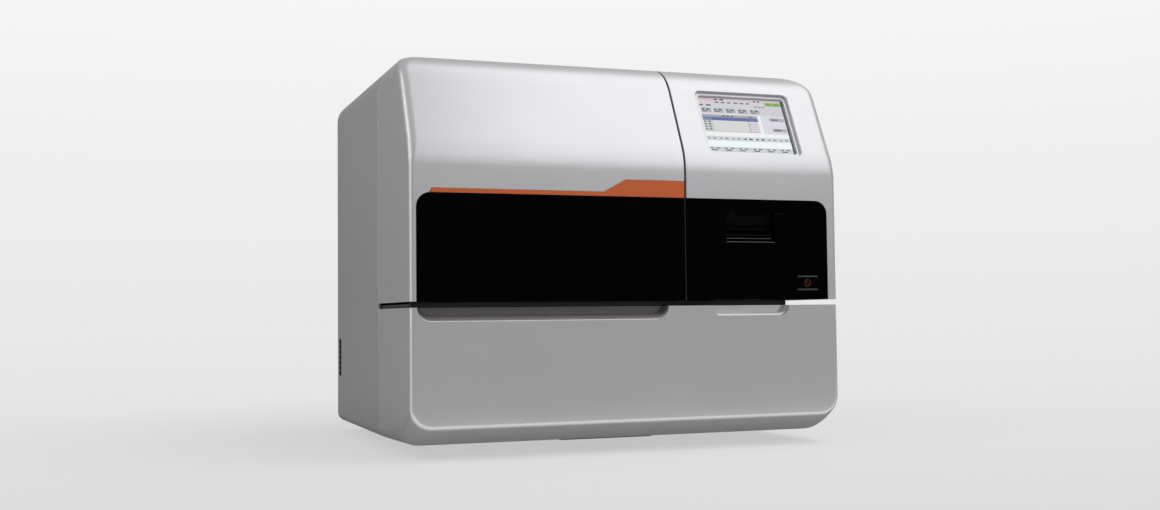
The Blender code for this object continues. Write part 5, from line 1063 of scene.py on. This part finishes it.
def make_tear_bars(m):
    """The steel edge that paper is torn off at, on the door below the outlet, and a rib behind it."""
    low, high = corners("printer_cover")
    z = high.z - TEAR_DROP
    front = low.y + 0.1
    bm = bmesh.new()
    block(bm, (low.x + TEAR_LEFT, front, z), (high.x - TEAR_RIGHT, front + TEAR_DEPTH, z + TEAR_HEIGHT))
    to_object("printer_tear_bar", bm, m["tear"], "printer_door")
    low, high = corners("paper_outlet_guide")
    bm = bmesh.new()
    block(bm, (low.x + 3, low.y - 0.3, z + 4.8), (high.x - 9, low.y + 0.3, z + 5.5))
    to_object("printer_guide_edge", bm, m["tear"], "casing")


# Lips of the finger grips: the widest stretch of each, their slope and the depth of their root
WIDE_LIP, NARROW_LIP, LIP_THIN = 0.7, 1.9, 0.05
LIP_FRONT, LIP_SLOPE, LIP_ROOT, LIP_BACK = 0.02, 0.7, 1.7, 0.4
LIP_ARC = 8


def grip_outline(left, right, low, radii):
    """Points along a grip's lower edge with the direction into the grip, from left to right."""
    places = []
    draw = GRIP_DRAW * AT_FACE
    first, last = (radius - draw / 2 for radius in radii)
    for x, radius, start in ((left + draw + first, first, 180), (right - draw - last, last, 270)):
        for i in range(LIP_ARC + 1):
            a = radians(start + 90 * i / LIP_ARC)
            c, s = cos(a), sin(a)
            places.append(((x + radius * c, low + radius + radius * s), (-c, -s)))
    return places


def make_grip_lips(m):
    """The rounded front edge of each finger grip, which catches the light."""
    low, high = corners("lower_front_cover")
    left, split = low.x + WIDE_GRIP_LEFT, corners("light_shield_cover")[1].x
    door = corners("printer_cover")[0].x + NARROW_GRIP_LEFT
    rise = 1 - GRIP_RISE * AT_FACE
    wide = (left, split - WIDE_GRIP_RIGHT, high.z - WIDE_GRIP_LOW * rise, WIDE_GRIP_RADII)
    narrow = (door, door + NARROW_GRIP_WIDTH, high.z - NARROW_GRIP_LOW * rise, NARROW_GRIP_RADII)
    for name, grip, width in (("cover_grip_lip", wide, WIDE_LIP), ("printer_grip_lip", narrow, NARROW_LIP)):
        rings = []
        for (x, z), (across, up) in grip_outline(*grip):
            reach = LIP_THIN + width * up
            section = ((0, LIP_FRONT), (reach, reach * LIP_SLOPE), (reach, reach * LIP_ROOT + LIP_BACK))
            rings.append([(x + across * w, low.y + depth, z + up * w) for w, depth in section])
        bm = bmesh.new()
        skin(bm, rings)
        to_object(name, bm, m["lip"], "casing")


# Fittings on the arm
CARRIAGE_INSET, CARRIAGE_RISE = 8, 6
ARM_SCREW_SHARES = (0.05, 0.3, 0.8)
PROBE_TOP = ((0, 3.2), (3, 3.2), (3.5, 2.4), (8, 2.4), (8.4, 2.0), (11, 1.6), (11, 0.8))
PROBE_COLLAR = ((-3.5, 2.6), (-2.8, 3.0), (0, 3.0))


def make_arm_details(m):
    """Bearing screws and the probe's fittings."""
    low, high = corners("x_carriage")
    heads = []
    for x in (low.x + CARRIAGE_INSET, high.x - CARRIAGE_INSET):
        for z in (low.z + CARRIAGE_RISE, high.z - CARRIAGE_RISE):
            heads.append(((x, z, low.y), "y", -1, 2.2))
    make_heads("x_carriage_screws", m["chip"], "x_arm", heads)
    low, high = corners("y_arm")
    x, along_arm = (low.x + high.x) / 2, [low.y + (high.y - low.y) * share for share in ARM_SCREW_SHARES]
    make_heads("y_arm_screws", m["chip"], "x_arm", [((x, y, high.z), "z", 1, 2.2) for y in along_arm])
    probe = middle("sample_probe")
    low, high = corners("probe_holder")
    bm = bmesh.new()
    for foot, profile in ((high.z, PROBE_TOP), (low.z, PROBE_COLLAR)):
        lathe(bm, (probe.x, probe.y, foot), "z", profile, 20)
    to_object("probe_fittings", bm, m["white"], "probe")


# Studio floor, which fades into the backdrop along the camera's way
FLOOR_RADIUS = 40
FLOOR_LOOK = (0.3435, 0.9392)
FADE_FROM, FADE_TO = -0.75, 9.25
FADE = ((0.0, 0.0), (0.03, 0.2), (0.075, 0.45), (0.15, 0.65), (0.3, 0.82), (0.6, 0.94), (1.0, 1.0))
NEAR_SHADE, FAR_SHADE = 220, 232
FLOOR_SHADOW = 0.3
SHADOW_NEAR, SHADOW_FAR = 0.45, 1.0
FLOOR_COLOUR, SEEN_FLOOR_COLOUR = (0.5,) * 3, (0.84,) * 3
# How bright the floor glows in reflections, from in front of the object to behind it: a painted highlight
# band just in front of the object and painted shadow beneath it
PAINTED_REFLECTION = (
    (-3.2, 0.16), (-1.4, 0.2), (-0.7, 0.24), (-0.42, 0.3), (-0.35, 1.0), (-0.28, 1.0), (-0.23, 0.2),
    (-0.08, 0.1), (0.8, 0.16),
)
PAINTED_REFLECTION_STRENGTH = 1.5


def make_stage():
    bm = bmesh.new()
    bmesh.ops.create_circle(bm, cap_ends=True, segments=96, radius=FLOOR_RADIUS)
    mesh = bpy.data.meshes.new("studio_floor")
    bm.to_mesh(mesh)
    bm.free()
    floor = bpy.data.objects.new("studio_floor", mesh)
    SCENE.collection.objects.link(floor)
    floor.data.materials.append(floor_material())


def floor_material():
    """Seen directly it is the backdrop's own colour with a share of real shading near the object; in
    reflections it glows with painted highlight and painted shadow bands.
    """
    t = new_material("studio_floor_pale")
    x, y, _ = t.split(t.place())
    ahead = t.maths("ADD", *(t.maths("MULTIPLY", way, share) for way, share in zip((x, y), FLOOR_LOOK)))
    stops = [(place, grey(NEAR_SHADE + (FAR_SHADE - NEAR_SHADE) * share)) for place, share in FADE]
    tone = t.ramp(t.remap(ahead, FADE_FROM, FADE_TO, 0, 1), stops)
    near_y, far_y = PAINTED_REFLECTION[0][0], PAINTED_REFLECTION[-1][0]
    bands = [((place - near_y) / (far_y - near_y), (level,) * 3) for place, level in PAINTED_REFLECTION]
    level = t.ramp(t.remap(y, near_y, far_y, 0, 1), bands)
    shadow = t.remap(t.length(x, y), SHADOW_NEAR, SHADOW_FAR, FLOOR_SHADOW, 0.0)
    seen, ray = t.seen()

    def blend(factor, first, second):
        return t.add("MixShader", {0: factor, 1: first.outputs[0], 2: second.outputs[0]})

    def matte(colour):
        return t.add("BsdfDiffuse", {"Color": opaque(colour)})

    def glow(colour, strength):
        return t.add("Emission", {"Color": colour, "Strength": strength})

    near = blend(shadow, glow(tone, 1.0), matte(SEEN_FLOOR_COLOUR))
    # Reflections see the painted bands glow in place of the floor's shading
    far = blend(ray["Is Glossy Ray"], matte(FLOOR_COLOUR), glow(level, PAINTED_REFLECTION_STRENGTH))
    t.finish(blend(seen, far, near))
    t.owner.cycles.emission_sampling = "NONE"
    return t.owner


# The backdrop's greys by height, and the light for other rays by height and then by side
BACKDROP = ((0.0, 232), (0.2, 239), (0.39, 246), (1.0, 250))
BACKDROP_TOP = 0.6
SKY = ((0.0, 0.22), (0.17, 0.30), (0.4, 0.42), (1.0, 0.55))
SKY_FLOOR, SKY_TOP = -0.2, 1.0
# The side's span and the levels at its two ends
REAR_SPAN, REAR_LEVELS = (-0.2, 0.9), (1.0, 0.8)
LEFT_SPAN, LEFT_LEVELS = (-0.9, 0.2), (0.64, 1.0)


def make_world():
    """The backdrop for what is seen, and softer studio light that falls off to the rear and the left."""
    world = bpy.data.worlds.new("studio_world")
    SCENE.world = world
    world.use_nodes = True
    t = Tree(world.node_tree, world)
    across, ahead, up = t.split(t.add("TexCoord").outputs["Generated"])
    stops = [(place, grey(shade)) for place, shade in BACKDROP]
    backdrop = t.ramp(t.remap(up, 0.0, BACKDROP_TOP, 0, 1), stops)
    levels = [(place, (level,) * 3) for place, level in SKY]
    light = t.ramp(t.remap(up, SKY_FLOOR, SKY_TOP, 0, 1), levels)
    rear = t.remap(ahead, *REAR_SPAN, *REAR_LEVELS)
    left = t.remap(across, *LEFT_SPAN, *LEFT_LEVELS)
    seen, _ = t.seen()
    strength = t.maths("MAXIMUM", seen, t.maths("MULTIPLY", rear, left))
    back = t.add("Background", {"Color": t.mix(seen, light, backdrop), "Strength": strength})
    t.finish(back, "OutputWorld")


# Soft lamps as (name, place, target, size, watts)
LAMPS = (
    ("overhead_softbox", (1.1, -0.98, 1.9), (1.1, -0.18, 0.4), (2.1, 3.8), 38),
    ("left_high_strip", (-1.65, -0.15, 1.25), (-0.28, -0.2, 0.42), (0.3, 1.1), 5),
    ("left_strip", (-1.7, -0.95, 0.5), (-0.28, -0.24, 0.33), (0.3, 1.7), 6),
)


def make_lamp(name, place, target, size, watts):
    """A soft lamp that the camera doesn't see."""
    data = bpy.data.lights.new(name, "AREA")
    data.shape = "RECTANGLE"
    data.size, data.size_y = size
    data.energy = watts
    lamp = bpy.data.objects.new(name, data)
    lamp.location = place
    lamp.rotation_mode = "QUATERNION"
    lamp.rotation_quaternion = (Vector(target) - Vector(place)).to_track_quat("-Z", "Y")
    lamp.visible_camera = False
    SCENE.collection.objects.link(lamp)


def main():
    SCENE.view_settings.view_transform = "Standard"
    make_camera()
    make_world()
    for lamp in LAMPS:
        make_lamp(*lamp)
    make_stage()
    looks = make_materials()
    dress_nodes(looks)
    make_screen()
    details = (
        make_stop_button, make_sample_tubes, make_vials, make_cups, make_lead_screw, make_screws,
        make_rear_screws, make_board_parts, make_port_details, make_printer_web, make_tear_bars,
        make_grip_lips, make_arm_details,
    )
    for make in details:
        make(looks)


main()
